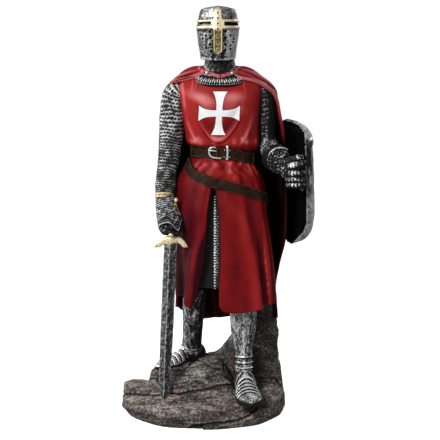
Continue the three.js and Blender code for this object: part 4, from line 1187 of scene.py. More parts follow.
def mailFinger(name, path, radius, bright, knuckle=0.36, shine=0.3):
    form = limbForm([[*p, radius, radius] for p in path])
    around, along = measured(form)
    pitch, drop = handSizes["pitch"], handSizes["drop"]
    count = max(5, round(around / pitch))

    def relief(u, v, spots):
        rings = links(u * count * pitch, v * along, pitch, drop, handSizes["ring"], 0.34)
        joint = bump((v - knuckle) / 0.1)
        patch = 0.45 + 0.6 * rise(ripple(spots, 3, 16), -0.4, 0.7)
        # painted light: the upper sides are lit and the undersides dark, with a painted highlight on the
        # knuckle
        lit = 0.1 + 0.9 * rise(np.cos(2 * math.pi * u - 0.7), 0, 0.8)
        return (handSizes["tall"] * rings + 0.3 * joint,
                bright * lit * (0.85 * rings * patch + shine * joint * (0.6 + 0.4 * rings)))

    return skin(name, round(around / handSizes["grid"]), round(along / handSizes["grid"]), form, relief,
                fill=True)


def palm(name, stations, bright):
    return mailSkin(name, limbForm(stations), handSizes["palmGrid"], handSizes["pitch"], handSizes["drop"],
                    handSizes["ring"], handSizes["palmTall"], 0.4, shade=bright, extra=crushed)


rightParts = [palm("palm", [
    [-28.4, -11, 160, 5.8, 5.6], [-27.4, -12.6, 153, 6.4, 5.6], [-26.4, -14, 147, 6.8, 5.8],
    [-25.6, -15.4, 142, 6.6, 5.8], [-25, -16.4, 139, 5, 4.8], [-24.8, -17, 137.2, 2.4, 2.6]], 0.6)]
for i in range(4):
    x, y, z = -24.8 + 0.3 * i, -14.6 - 0.9 * i, 151 - 3.7 * i
    path = [[x - 5.4, y, z], [x - 3.8, y - 4.6, z - 0.6],
            [x + 1.4, y - 6.4, z - 1.4], [x + 5.4, y - 4, z - 2]]
    rightParts.append(mailFinger("finger", path, 2.3 - 0.1 * i, 0.6, shine=0.1))
rightParts.append(mailFinger("thumb", [[-22, -13.4, 155], [-17.4, -15, 149.6], [-16.4, -17, 144],
                                       [-17.6, -19, 139.6]], 2.4, 0.35))
rightHand = joined("glove_right", *rightParts)
finished(rightHand, mailPaint)

leftParts = []
gx, gy, gz = gripMiddle
leftParts.append(palm("palm", [
    [gx - 12.6, gy + 5, gz + 7.4, 5.2, 5.2], [gx - 9, gy + 2, gz + 5, 6, 5.8],
    [gx - 5.4, gy + 0.4, gz + 2.4, 6.8, 6], [gx - 1.8, gy + 0.4, gz + 0.6, 7, 5.2],
    [gx + 1.6, gy + 0.6, gz, 6.2, 4.6], [gx + 4, gy + 1, gz, 3, 3.4]], 0.66))
for drop, climb, radius, shine in ((187, 2.4, 2.3, 0.75), (181.3, 0.5, 2.15, 0.4), (177.1, 0, 2.1, 0.3),
                                   (173.3, -0.2, 1.9, 0.35)):
    leftParts.append(mailFinger("finger", [
        [gx - 8, gy - 1.4, drop - 0.4], [gx - 5.6, gy - 5.6, drop], [gx + 0.2, gy - 6.6, drop + 0.5 * climb],
        [gx + 2.6, gy - 4, drop + climb], [gx + 3.2, gy + 0.6, drop + climb]], radius, 0.85, 0.3, shine))
leftParts.append(mailFinger("thumb", [[gx - 9.6, gy - 1.6, gz + 9.2], [gx - 5.4, gy - 4.6, gz + 11.6],
                                      [gx - 0.6, gy - 5.2, gz + 12.6], [gx + 2.2, gy - 4.4, gz + 12.6]],
                            2.1, 0.8, 0.6, 0.5))
leftHand = joined("glove_left", *leftParts)
finished(leftHand, mailPaint)

# mail flap over the right hand, open below, with a bright beaded hem
flapSizes = {"columns": 150, "rows": 56, "wall": 0.9}
flapStations = [[-28.4, -10.6, 162, 6.2, 6.2], [-26.6, -12.8, 155, 7.6, 8.4], [-24.2, -15, 147, 8.7, 10.6],
                [-21.6, -17.8, 136, 9.2, 11.8]]


def flapForm(u, v):
    turn = 2 * math.pi * u  # a quarter turn is the front
    hem = 0.8 + 0.22 * bump((np.degrees(turn) - 60) / 21)
    return limbForm(flapStations)(u, v * hem / 1.04)


def flapRelief(u, v, spots):
    rings = links(u * 25 * 2.2, v * 26, 2.2, 2.2, (0.95, 0.9), 0.28)
    beads = 0.7 + 0.3 * np.cos(u * 58 * 2 * math.pi)
    hem = (bump((v - 0.965) / 0.022) + 0.75 * bump((v - 0.9) / 0.018)) * beads
    hem = hem + 0.8 * bump((u - 0.06) / 0.012) * (0.5 + 0.5 * np.cos(v * 20 * math.pi)) * (v < 0.88)
    shade = fall(v, 0.82, 0.87)
    patch = 0.85 + 0.3 * ripple(spots, 4, 17)
    return 0.5 * rings * shade + 0.5 * hem, 0.9 * rings * shade * patch + 0.95 * hem


flap = skin("glove_flap", flapSizes["columns"], flapSizes["rows"], flapForm, flapRelief)
thicken(flap, flapSizes["wall"])
finished(flap, mailPaint)
print("hands", len(rightHand.data.polygons), len(leftHand.data.polygons))

# great helm
helmSizes = {"x": 10.5, "y": -1.5, "long": 1.1, "slots": ((-162, -109), (-71, -18)), "slotLow": 285.6,
             "slotHigh": 288.2, "slotDepth": 2.2, "hole": 0.84, "holeDepth": 1.4}
# breathing holes: angle and height
breaths = [(-111.5, 281.3), (-124.5, 278.8), (-137.5, 277), (-111, 277.4), (-113.5, 273.2), (-128, 270.7),
           (-111.5, 268.8), (-69, 281.6), (-53, 279), (-38, 276.5), (-68.5, 277.4), (-67.5, 273.2),
           (-50, 272.3), (-41, 274.4), (-66.5, 269.5), (-48.5, 269.9)]
helmRadius = ([262, 268, 276, 283.3, 283.6, 290, 290.3, 294.6, 297.4, 298.4, 299.3, 300],
              [12.4, 13.3, 14.5, 15.4, 15.3, 14.4, 14.1, 13.3, 12.2, 9.2, 5, 0])


def helmPoint(angle, z, out=0.0, radius=None):
    reach = np.interp(z, *helmRadius) if radius is None else radius
    turn = np.radians(angle)
    x, y = (reach + out) * np.cos(turn), (reach + out) * np.sin(turn) * helmSizes["long"]
    lift = (rise(z, 266, 284) - 0.7) * 1.6 * np.square(np.maximum(0, -y / 16))
    return np.stack([helmSizes["x"] + x, helmSizes["y"] + y, z + lift], -1)


helmHeights = np.concatenate([
    [264.5, 262.6], np.linspace(262, 283.3, 44), [283.6, 284.1, 284.8], [285.5, 285.6, 285.7],
    [286.2, 286.9, 287.6], [288.1, 288.2, 288.3], [289, 289.6, 290, 290.3], np.linspace(290.9, 296.6, 10),
    [297.0, 297.4, 297.8], np.linspace(298.2, 299.8, 6), [300]])
helmInset = np.concatenate([[10.6, 11.4], np.interp(helmHeights[2:], *helmRadius)])
helmTurns = np.sort(np.concatenate([np.linspace(-180, 180, 171)] + [
    [edge - 0.15, edge + 0.15] for pair in helmSizes["slots"] for edge in pair]))


def helmForm(u, v):
    return helmPoint(spread(u, helmTurns) + 360 * beyond(u), spread(v, helmHeights), 0.0,
                     spread(v, helmInset))


def helmRelief(u, v, spots):
    angle, z = spread(u, helmTurns), spread(v, helmHeights)
    within = (z > helmSizes["slotLow"] - 0.01) & (z < helmSizes["slotHigh"] + 0.01)
    low = np.zeros_like(z, bool)
    for start, end in helmSizes["slots"]:
        low |= within & (angle > start) & (angle < end)
    top = fall(z, 299, 300)
    dents = (0.14 * ripple(spots, 6, 21) + 0.09 * ripple(spots, 2.4, 22)) * top
    rim = 0.3 * bump((z - 262.9) / 0.55) * (v > 0.02)
    height = np.where(low, -helmSizes["slotDepth"], dents + rim)
    away = np.abs(wrapped(angle + 90))
    # painted light: a highlight along the lower rim, painted shade under the brow rails, in the crown's step
    # and beside the bar, and lighter towards the sides
    brushAndLight = (0.5 + 0.7 * dents + 0.36 * bump((z - 262.9) / 0.5) - 0.12 * bump((z - 264.6) / 0.8)
              - 0.22 * bump((z - 282.6) / 0.6) + 0.08 * rise(z, 297.2, 298) - 0.16 * bump((z - 290.9) / 0.7)
              + (z < 283) * (0.12 * bump((away - 80) / 25) - 0.24 * bump((away - 15) / 7)))
    turned = wrapped(angle + 90)  # below 0 is the side that the light comes from
    crown = rise(z, 290.8, 291.6)
    # painted light on the crown and the lower sides, by how they turn to the light
    brushAndLight = (brushAndLight - 0.5 * crown * dents
              + crown * (0.2 * bump((turned + 20) / 20) - 0.1 * bump((turned + 4) / 6)
                         - 0.12 * rise(-turned, 46, 72) - 0.13 * rise(turned, 26, 50) * rise(z, 290.4, 292))
              + (z < 283) * (0.2 * rise(turned, 20, 32) - 0.12 * rise(-turned, 24, 34)))
    rest = low & (z < 286.95) & (turned < 0)  # painted highlight on what shows of the floor of the right slot, on the side the light comes from
    brushAndLight = np.where(rest, 0.5, brushAndLight)
    for at, tall in breaths:  # bright rings round the dark holes
        away = np.hypot(wrapped(angle - at) * 0.25, z - tall)
        brushAndLight = brushAndLight + 0.18 * bump((away - 1.5) / 0.4) - 0.45 * bump(away / 0.8)
    return height, np.where(low & ~rest, 0.1, brushAndLight)


helmet = skin("great_helm", len(helmTurns) - 1, len(helmHeights) - 1, helmForm, helmRelief, fill=True)


def drill(piece, spots, ways, radius, depth):
    # sinks round holes into a closed piece and paints their insides black
    cutters = []
    for spot, way in zip(spots, ways):
        deselect()
        turn = Vector(way).to_track_quat("Z", "Y").to_euler()
        bpy.ops.mesh.primitive_cylinder_add(vertices=10, radius=radius * mm, depth=2 * depth * mm,
                                            location=Vector(spot) * mm, rotation=turn)
        cutters.append(called("cutter"))
        settle()
    cutter = joined("cutter", *cutters)
    change(piece, "BOOLEAN", operation="DIFFERENCE", object=cutter, solver="EXACT")
    pick(cutter)
    bpy.ops.object.delete()
    middles = read(piece.data.polygons, "center") / mm
    inside = np.zeros(len(middles), bool)
    for spot, way in zip(np.array(spots), unit(np.array(ways, float))):
        away = middles - spot
        deep = away @ way
        aside = np.linalg.norm(away - deep[:, None] * way, axis=1)
        inside |= (aside < radius * 1.02) & (deep < -0.03) & (deep > -depth * 1.1)
    piece.data.materials.append(blackPaint)
    piece.data.polygons.foreach_set("material_index", inside.astype(np.int32))


holeSpots = helmPoint(*np.array(breaths, float).T)
holeWays = [(math.cos(math.radians(at)), math.sin(math.radians(at)), 0) for at, tall in breaths]
helmet.data.materials.append(steelPaint)
drill(helmet, holeSpots, holeWays, helmSizes["hole"], helmSizes["holeDepth"])
finished(helmet, None, 38)
print("helm", len(helmet.data.polygons))

# gold cross of the helm: the upright bar and two rails over the brow
barSizes = {"low": 266.9, "high": 298.9, "thick": 1.5, "rivet": 0.64, "rivetDepth": 0.9, "columns": 20,
            "rows": 110}
barRows = table([[266.9, 0.3], [269.2, 2.9], [276, 3.0], [282.4, 3.0], [283.8, 3.6], [285, 4.3], [288.8, 4.4],
                 [289.8, 3.5], [291.4, 2.6], [296, 2.4], [297.8, 1.6], [298.9, 0.2]])
rivetHeights = [294.5, 290.8, 287.0, 283.1, 278.5, 274.3, 269.9]


def barForm(u, v):
    z = lerp(barSizes["low"], barSizes["high"], v)
    half = barRows(z)[0]
    x = (2 * u - 1) * half
    reach = np.interp(z, *helmRadius)
    reach = np.where(z > 283.3, np.maximum(reach, np.interp(z, [283.3, 290.3], [15.4, 14.3])), reach)
    reach = np.where(z > 290.3, np.interp(z, [290.3, 294.6, 297.2, 298.9], [14.3, 13.4, 12.4, 8.4]), reach)
    y = np.sqrt(np.maximum(reach**2 - x**2, 0)) * helmSizes["long"] + 0.75
    lift = (rise(z, 266, 284) - 0.7) * 1.6 * np.square(y / 16)
    return np.stack([helmSizes["x"] + x, helmSizes["y"] - y, z + lift], -1)


def barRelief(u, v, spots):
    z = lerp(barSizes["low"], barSizes["high"], v)
    edge = rise(np.abs(2 * u - 1), 0.72, 0.88)
    low = fall(z, 281.5, 283.5)
    rings = np.zeros_like(z)
    for at in rivetHeights:
        rings = rings + bump((np.hypot(spots[:, 0] - helmSizes["x"], z - at) - 1.0) / 0.28)
    tip = fall(z, 267.3, 268.8)
    # painted shade on the lower bar, which faces down, with painted highlights on its edges and tip
    return (0.3 * edge * low * (1 - tip) - 0.1 + 0.12 * rings,
            0.62 + 0.15 * (1 - low) + low * (0.5 * np.maximum(edge, tip) - 0.36 + 0.3 * rings)
            + 0.08 * ripple(spots, 5, 31))


helmBar = skin("helm_bar", barSizes["columns"], barSizes["rows"], barForm, barRelief)
thicken(helmBar, barSizes["thick"])
helmBar.data.materials.append(goldPaint)
rivetShares = (np.array(rivetHeights) - barSizes["low"]) / (barSizes["high"] - barSizes["low"])
rivetSpots = barForm(np.full(len(rivetShares), 0.5), rivetShares) + [0, -0.1, 0]
drill(helmBar, rivetSpots, [(0, -1, 0.1)] * len(rivetSpots), barSizes["rivet"], barSizes["rivetDepth"])
finished(helmBar, None, 40)


railSizes = {"start": -196, "end": 16, "proud": 0.6, "columns": 150, "rows": 14}


def railForm(z, half):
    def form(u, v):
        angle = lerp(railSizes["start"], railSizes["end"], u)
        turn = 2 * math.pi * v
        tall = rounded(np.cos(turn), 3) * half
        out = rounded(np.sin(turn), 3) * railSizes["proud"] + 0.05
        taper = rise(u, 0, 0.03) * fall(u, 0.97, 1) * 0.9 + 0.1
        reach = np.interp(z + tall, [283, 284, 290.5], [15.25, 15.2, 14.3])
        return helmPoint(angle, z + tall * taper, 0.0, reach + out * taper)

    return form


rails = joined("helm_rails", *[
    skin("rail", railSizes["columns"], railSizes["rows"], railForm(z, half),
         lambda u, v, spots: (0 * u, 0.75 + 0.1 * ripple(spots, 5, 32)), fill=True)
    for z, half in ((289.1, 0.8), (284.6, 0.95))])
finished(rails, goldPaint, 50)
print("helm cross")

# legs in plate
plateSizes = {"across": 0.6, "along": 0.5, "seam": 38, "shoeColumns": 88, "shoeRows": 110}


def greave(name, stations, ridge, lames, tone, glow):
    form = limbForm(stations, lambda angle, v: 1 + 0.05 * bump((angle - ridge) / 16))
    around, along = measured(form)

    def relief(u, v, spots):
        height = 0.16 * ripple(spots * [1, 1, 0.6], 4.5, 41) + 0.1 * ripple(spots, 2.2, 42)
        light = np.cos(np.radians(u * 360 - 150))  # painted light: the left side, towards the light, is brighter
        brushAndLight = (tone + glow * light + 0.7 * height + 0.2 * bump((u * 360 - ridge) / 5)
                  + 0.1 * ripple(spots * [1, 1, 0.5], 7, 43))
        for at in lames:  # overlapping plates round the ankle, each with a painted highlight on its edge and painted shade in the crease below it
            away = (v - at) * along
            height = height + 0.75 * bump((away + 0.35) / 0.55) - 0.5 * bump((away - 0.55) / 0.4)
            brushAndLight = brushAndLight + 0.5 * bump((away + 0.4) / 0.5) - 0.75 * bump((away - 0.5) / 0.55)
        for side in (ridge - plateSizes["seam"], ridge + plateSizes["seam"]):
            brushAndLight = brushAndLight - 0.12 * bump(wrapped(u * 360 - side) / 5) * fall(v, 0.75, 0.85)
        return height, brushAndLight

    piece = skin(name, round(around / plateSizes["across"]), round(along / plateSizes["along"]), form, relief,
                 fill=True)
    finished(piece, greavePaint)


# painted light: the right greave is darker and lit only on its left, the left greave lighter and even
greave("greave_right", [
    [-5, -1, 96, 9, 9.4], [-7.4, 0, 82, 8, 8.8], [-8, 1, 68, 7.5, 8.4], [-8.6, 3, 56, 7.1, 7.6],
    [-9.2, 4.6, 48, 7.3, 7.3], [-9.4, 5, 44, 7.2, 7.4]],
       ridge=60, lames=(0.76, 0.84, 0.92), tone=0.19, glow=0.34)
greave("greave_left", [
    [28, -6, 92, 10.4, 10.4], [29, -7.4, 78, 9.8, 10], [29, -8.2, 68, 9.4, 9.6], [29.2, -8.8, 57, 7.8, 8],
    [29.6, -9.4, 48, 6.2, 6.8], [29.8, -9.8, 40, 5.8, 6.4], [29.8, -10, 34, 6.4, 7]],
       ridge=90, lames=(0.73, 0.82, 0.92), tone=0.49, glow=0.08)


def sabaton(name, heel, toe, ground, ankle, breadth, plates, soleTall, dark):
    # a lamed shoe from heel to toe; ground is its height at both, dark where in the picture its shade begins
    profile = table([[0, 4.6, ankle * 0.62], [0.1, 6.2, ankle * 0.95], [0.3, 6.6, ankle],
                     [0.45, 7, ankle * 0.7], [0.62, 8, ankle * 0.52], [0.78, 7.8, ankle * 0.4],
                     [0.9, 5.2, ankle * 0.3], [1, 0.8, ankle * 0.2]])
    outline = table([[0, -0.97, 0], [0.15, -1, 0.28], [0.3, -0.62, 0.82], [0.45, 0, 1.02], [0.6, 0.62, 0.82],
                     [0.75, 1, 0.28], [0.9, 0.97, 0], [1, -0.97, 0]])
    start, end = np.array(heel, float), np.array(toe, float)
    way = end - start
    across = unit(np.array([-way[1], way[0]]))

    def form(u, v):
        v = np.clip(v, 0, 1)
        half, tall = profile(v)
        side, up = outline(u % 1.0)
        flat = start + way * v[:, None] + across * (half * breadth / 8 * side)[:, None]
        return np.column_stack([flat, lerp(ground[0], ground[1], v) + tall * up])

    def relief(u, v, spots):
        side, up = outline(u)
        top = rise(up, 0.2, 0.45)
        height = 0.08 * ripple(spots, 3, 51)
        brushAndLight = 0.52 + 0.6 * height + 0.25 * bump((u - 0.45) / 0.06)
        # painted highlight on each plate's edge and painted shade in the crease below it
        for at in plates:
            away = (v - at - 0.02 * (1 - up)) * np.linalg.norm(way)
            height = height + top * (0.7 * bump((away + 0.5) / 0.6) - 0.45 * bump((away - 0.4) / 0.4))
            brushAndLight = brushAndLight + top * (0.5 * bump((away + 0.5) / 0.55) - 0.75 * bump((away - 0.4) / 0.5))
        sole = fall(up * profile(v)[1], soleTall - 0.3, soleTall + 0.2)
        px, py = frontView(spots)
        # painted shade from where the shade begins in the picture, a little painted light before it on the
        # right shoe, and the left shoe painted a little darker
        brushAndLight = (brushAndLight - 0.5 * rise(px, dark, dark + 7) + 0.16 * rise(dark - px, 0, 6) * (dark < 200)
                  - 0.06 * (dark > 200))
        return height + 0.45 * sole, brushAndLight * (1 - sole)

    piece = skin(name, plateSizes["shoeColumns"], plateSizes["shoeRows"], form, relief, fill=True)
    finished(piece, greavePaint)


sabaton("sabaton_right", (-1, 11.5), (-35.4, -12.5), (41, 36.4), 12, 8.2, (0.44, 0.54, 0.63, 0.72, 0.81),
        soleTall=1.2, dark=182)
sabaton("sabaton_left", (28.6, -2), (34.8, -43), (20, 15.4), 17, 8.9, (0.34, 0.43, 0.51, 0.59, 0.67, 0.75),
        soleTall=2.6, dark=266)
print("legs")

# sword
swordSizes = {"blade": 9.4, "thick": 3.2, "point": 13, "socket": 2.5, "guardRight": -12.3, "guardLeft": 12.6}
swordGrids = {"blade": (56, 230), "guard": (36, 90), "boss": (32, 20), "grip": (28, 120), "pommel": (32, 60)}
hiltLow, hiltTop = np.array([-23.4, -20, 134.4]), np.array([-19.9, -18, 159])
swordPoint = np.array([-28.6, -30, 18.6])
bladeLength = np.linalg.norm(swordPoint - hiltLow) + swordSizes["socket"]
axis = unit(hiltLow - swordPoint)
side = unit(np.array([1.0, 0, 0]) - axis * axis[0])
depth = np.cross(axis, side)


def onSword(x, y, z):
    return hiltLow + np.multiply.outer(x, side) + np.multiply.outer(y, depth) + np.multiply.outer(z, axis)


bladeRows = table([[-0.5, 1, 1], [bladeLength * 0.45, 1, 1], [bladeLength - swordSizes["point"], 0.86, 0.9],
                   [bladeLength - 6, 0.6, 0.75], [bladeLength, 0.1, 0.3]])
bladeEdge = table([[0, -1, 0], [0.06, -0.93, 0.22], [0.2, -0.2, 0.97], [0.25, -0.12, 1.04],
                   [0.3, -0.04, 0.94], [0.44, 0.93, 0.2], [0.5, 1, 0], [0.56, 0.93, -0.2],
                   [0.7, -0.04, -0.94], [0.75, -0.12, -1.04], [0.8, -0.2, -0.97], [0.94, -0.93, -0.22],
                   [1, -1, 0]])


def bladeForm(u, v):
    down = lerp(-0.5, bladeLength, np.clip(v, 0, 1))
    wide, thick = bladeRows(down)
    x, y = bladeEdge(u % 1.0)
    return onSword(x * wide * swordSizes["blade"] / 2, -y * thick * swordSizes["thick"] / 2, -down)


def bladeRelief(u, v, spots):
    x, y = bladeEdge(u)
    pits = 0.09 * ripple(spots, 2.6, 61) + 0.06 * ripple(spots, 1.2, 62)
    ridge = bump((x + 0.12) / 0.07)
    edge = rise(np.abs(x), 0.8, 0.97)
    # painted highlight along the ridge, and one side of the ridge painted lighter than the other
    return (pits * (1 - edge), 0.42 + 1.7 * pits + 0.36 * ridge + 0.2 * edge + 0.06 * (x < -0.1)
            - 0.08 * bump((x - 0.3) / 0.2))


blade = skin("sword_blade", *swordGrids["blade"], bladeForm, bladeRelief, fill=True)
finished(blade, bladePaint, 50, "sword")

guardTop = table([[-12.3, -6.6], [-11.7, -5.8], [-9.1, -2.9], [-5.6, 0], [-2, 1.3], [0.1, 1.5], [5.1, 1.4],
                  [8.8, -0.7], [11, -3.1], [12.2, -5], [12.6, -6]])
guardLow = table([[-12.3, -6.9], [-11.1, -7.4], [-7.9, -7.2], [-6, -5.7], [-4.4, -4.9], [-2.4, -5],
                  [-0.8, -5.8], [0.8, -4.6], [3.2, -3.6], [5.6, -3.7], [7.6, -4.8], [8.8, -6.3], [10.4, -6.6],
                  [11.9, -6.4], [12.6, -6.3]])


def guardForm(u, v):
    x = lerp(swordSizes["guardRight"], swordSizes["guardLeft"], np.clip(v, 0, 1))
    high, low = guardTop(x)[0], guardLow(x)[0]
    thick = np.interp(np.abs(x), [0, 4, 11, 12.6], [2.5, 2.1, 1.8, 0.9])
    turn = 2 * math.pi * u
    across, up = rounded(np.sin(turn), 2.8), rounded(np.cos(turn), 2.8)
    return onSword(x, across * thick, (high + low) / 2 + up * (high - low) / 2)


def guardRelief(u, v, spots):
    turn = 2 * math.pi * u
    face = rise(np.abs(np.sin(turn)), 0.5, 0.9)
    far = np.abs(2 * v - 1)
    # worn leaf pattern
    curl = rise(ripple(spots, 1.4, 73), -0.1, 0.4) * (bump((v - 0.62) / 0.1) + 0.7 * bump((v - 0.42) / 0.05))
    low = bump((np.cos(turn) + 0.5) / 0.5)
    groove = 0.5 * bump((far - 0.8) / 0.03) + curl * low
    return (-0.22 * face * groove, 0.8 - 0.8 * face * groove - 0.14 * bump((v - 0.2) / 0.1)
            + 0.07 * ripple(spots, 3, 71))


guard = skin("guard", *swordGrids["guard"], guardForm, guardRelief, fill=True)


def ballForm(centre, x, y, z):
    def form(u, v):
        turn, climb = 2 * math.pi * u, math.pi * (np.clip(v, 0.001, 0.999) - 0.5)
        level = np.cos(climb)
        return onSword(centre[0] + x * np.cos(turn) * level, centre[1] + y * np.sin(turn) * level,
                       centre[2] + z * np.sin(climb))

    return form


boss = skin("boss", *swordGrids["boss"], ballForm((0.1, -3.2, 2.7), 2.4, 3.6, 1.7), evenTone(0.75))
upward = unit(hiltTop - hiltLow)


def hiltForm(radii):
    # a turned form along the grip, through rows of [height, radius]
    rows = table(radii)
    across = unit(np.array([1.0, 0, 0]) - upward * upward[0])
    other = np.cross(upward, across)

    def form(u, v):
        at = lerp(radii[0][0], radii[-1][0], np.clip(v, 0, 1))
        reach = rows(at)[0]
        turn = 2 * math.pi * u
        return (hiltLow + np.multiply.outer(at, upward) + np.multiply.outer(reach * np.cos(turn), across)
                + np.multiply.outer(reach * np.sin(turn), other))

    return form


gripLength = float(np.linalg.norm(hiltTop - hiltLow))


def gripRelief(u, v, spots):
    wrap = np.cos(2 * math.pi * (u + v * 14))
    return 0.15 * wrap, 0.4 + 0.2 * wrap


def pommelRelief(u, v, spots):
    return 0 * u, (0.12 + 0.65 * bump((v - 0.75) / 0.14) + 0.4 * bump((v - 0.4) / 0.07)
                   + 0.25 * bump((v - 0.15) / 0.06))


grip = skin("grip", *swordGrids["grip"], hiltForm([[2, 2.2], [gripLength / 2, 2.4], [gripLength - 4, 2.1]]),
            gripRelief, fill=True)
pommel = skin("pommel", *swordGrids["pommel"], hiltForm([
    [gripLength - 4, 0.6], [gripLength - 3.5, 1.0], [gripLength - 2.6, 1.15], [gripLength - 1.9, 0.55],
    [gripLength - 1.2, 1.0], [gripLength - 0.3, 1.15], [gripLength + 0.5, 0.55], [gripLength + 1.5, 1.05],
    [gripLength + 2.6, 1.25], [gripLength + 3.8, 1.1], [gripLength + 4.7, 0.5], [gripLength + 4.8, 0.05]]),
    pommelRelief, fill=True)
hilt = joined("sword_hilt", guard, boss, pommel)
finished(hilt, goldPaint, 50, "sword")
finished(grip, beltPaint, node="sword")
grip.name = "sword_grip"
print("sword")

# shield
shieldSizes = {"wide": 69, "high": 92, "thick": 2.8, "bend": 33, "rim": 5.5, "rise": 0.8, "x": 48, "y": -6,
               "z": 169, "edge": -25, "lean": 15, "bow": 3.2, "columns": 110, "rows": 140}
strapSizes = {"radius": 1.3, "squash": 0.6, "x": 37}
shieldOutline = table([[1, 0.8], [0.975, 0.91], [0.93, 0.97], [0.87, 1], [0.7, 1], [0.5, 0.99], [0.35, 0.9],
                       [0.22, 0.72], [0.1, 0.44], [0, 0.05]])
shieldFront = table([[1, 0.84], [0.98, 0.9], [0.95, 0.94], [0.9, 0.965], [0.8, 0.98], [0.5, 0.99],
                     [0.35, 0.9], [0.22, 0.72], [0.1, 0.44], [0, 0.05]])
shieldDrop = table([[-34.5, 2.4], [-28, 2.5], [-20, 2.9], [-10, 3.1], [-4, 2.9], [5, 2.1], [16.5, 2],
                    [23, 2.6], [29, 3.4], [34.5, 5]])


def shieldShare(level, across):
    return np.where(across < 0, shieldFront(level)[0], shieldOutline(level)[0])


def shieldPoint(across, up, out):
    lean = math.radians(shieldSizes["lean"])
    t = up - shieldSizes["high"] / 2
    arc = across * math.cos(lean) - t * math.sin(lean)
    climb = across * math.sin(lean) + t * math.cos(lean)
    turn = (arc + shieldSizes["wide"] / 2) / shieldSizes["bend"] + math.radians(shieldSizes["edge"])
    bow = shieldSizes["bow"] * (climb / (shieldSizes["high"] / 2)) ** 2
    reach = shieldSizes["bend"] + out - bow
    return np.stack([shieldSizes["x"] + reach * np.cos(turn), shieldSizes["y"] + reach * np.sin(turn),
                     shieldSizes["z"] + climb], -1)


def shieldFlat(u, v):
    # a place on the plate
    level = np.clip(v, 0, 1)
    half = np.maximum(shieldShare(level, u - 0.5) * shieldSizes["wide"] / 2, 0.4)
    across = (2 * np.clip(u, 0, 1) - 1) * half
    return across, level * (shieldSizes["high"] - shieldDrop(across)[0] * level**3)


def rimDistance(across, up):
    # about how far a place lies in from the outline
    level = np.clip(up / shieldSizes["high"], 0, 1)
    share = shieldShare(level, across) * shieldSizes["wide"] / 2
    slope = (shieldShare(np.clip(level + 0.01, 0, 1), across)
             - shieldShare(np.clip(level - 0.01, 0, 1), across))
    slope = slope * shieldSizes["wide"] / 2 / (0.02 * shieldSizes["high"])
    side = (share - np.abs(across)) / np.sqrt(1 + slope**2)
    return np.minimum(side, shieldSizes["high"] - shieldDrop(across)[0] - up)


def shieldOuter(u, v):
    return shieldPoint(*shieldFlat(u, v), 0.0)


def stripLeft(py):
    # where the hollow side ends in the picture, beside the painted strip
    return np.interp(py, [131, 134, 140, 150, 170, 190, 223.6, 232, 239, 244],
                     [302.6, 303.8, 304.8, 305.3, 305.8, 306.3, 306.4, 302.9, 296.4, 290.7])


def stripTone(px, py, dents):
    # bright borders, black above and mottled silver below
    core = rise(px - stripLeft(py), 0.9, 1.6) * (1 - 0.8 * rise(px, 311.5, 312.3)) * rise(py, 139.6, 141)
    return lerp(0.82 + 0.1 * dents, 0.66 + 0.7 * dents - 0.5 * fall(py, 160, 180), core)


def shieldRelief(u, v, spots):
    across, up = shieldFlat(u, v)
    away = rimDistance(across, up)
    field = rise(away, shieldSizes["rim"] - 0.3, shieldSizes["rim"] + 0.4)
    bead = bump((away - shieldSizes["rim"] + 0.7) / 0.6) * 0.35
    round_ = -0.7 * fall(away, 0, 1.2)
    dents = 0.2 * ripple(spots, 12, 81) + 0.1 * ripple(spots, 4, 82)
    dusk = 0.34 * rise(up, 58, 70)  # the field is black above and silver below
    px, py = frontView(spots)
    brushAndLight = (lerp(0.8 + 0.1 * dents, 0.52 + 0.5 * dents - dusk, field) + 0.2 * bead
              - 0.4 * bump((away - 6.3) / 0.5))
    lean = math.radians(shieldSizes["lean"])
    arc = across * math.cos(lean) - (up - shieldSizes["high"] / 2) * math.sin(lean)
    brushAndLight = lerp(brushAndLight, stripTone(px, py, dents), 1 - rise(arc, -20.5, -18))
    return -shieldSizes["rise"] * field + bead + round_ + dents * 0.6 * field, brushAndLight


plate = skin("shield_plate", shieldSizes["columns"], shieldSizes["rows"], shieldOuter, shieldRelief)
outside, faces = thicken(plate, shieldSizes["thick"] - 0.6)
plate.data.materials.append(shieldPaint)
plate.data.materials.append(blackPaint)
spots = readPoints(plate) / mm
px, py = frontView(spots)
within = np.interp(px, [276, 284, 292, 298.6, 301.6, 303.8], [119.8, 120.5, 122.8, 126, 129.2, 134])
silver = ((py < within) & (px < 304)) | ((px > stripLeft(py)) & (py > 131)) | ((px > 303.4) & (py < 131.6))
brushAndLight = getBrushAndLight(plate)
shaded = 0.2 * rise(py, 168, 176) * fall(py, 198, 206)  # painted light brightens the band where the fist stands in its light
brushAndLight[outside:] = np.where(silver, stripTone(px, py, 0.3 * ripple(spots, 4, 82)) + shaded, 0.1)[outside:]
setBrushAndLight(plate, brushAndLight)
kind = np.zeros(len(plate.data.polygons), np.int32)
kind[faces:2 * faces] = 1  # the hollow side is plain black
corners = np.array([face.vertices[0] for face in plate.data.polygons])
kind[silver[corners]] = 0  # but for a band of silver along its edge
plate.data.polygons.foreach_set("material_index", kind)
finished(plate, None, 50, "shield")

anchors = [shieldPoint(np.array(strapSizes["x"] - shieldSizes["wide"] / 2),
                       np.array(shieldSizes["high"] * share),
                       -shieldSizes["thick"] / 2) for share in (0.72, 0.465)]
grips = [np.array(gripMiddle) + [1.7, 0, up] for up in (14, 9, 0, -9, -14)]
strap = tube("shield_strap", [anchors[0], lerp(grips[0], anchors[0], 0.3), grips[1], grips[2], grips[3],
                              lerp(grips[4], anchors[1], 0.3), anchors[1]],
             strapSizes["radius"], 16, 90, strapSizes["squash"])
spots = readPoints(strap) / mm
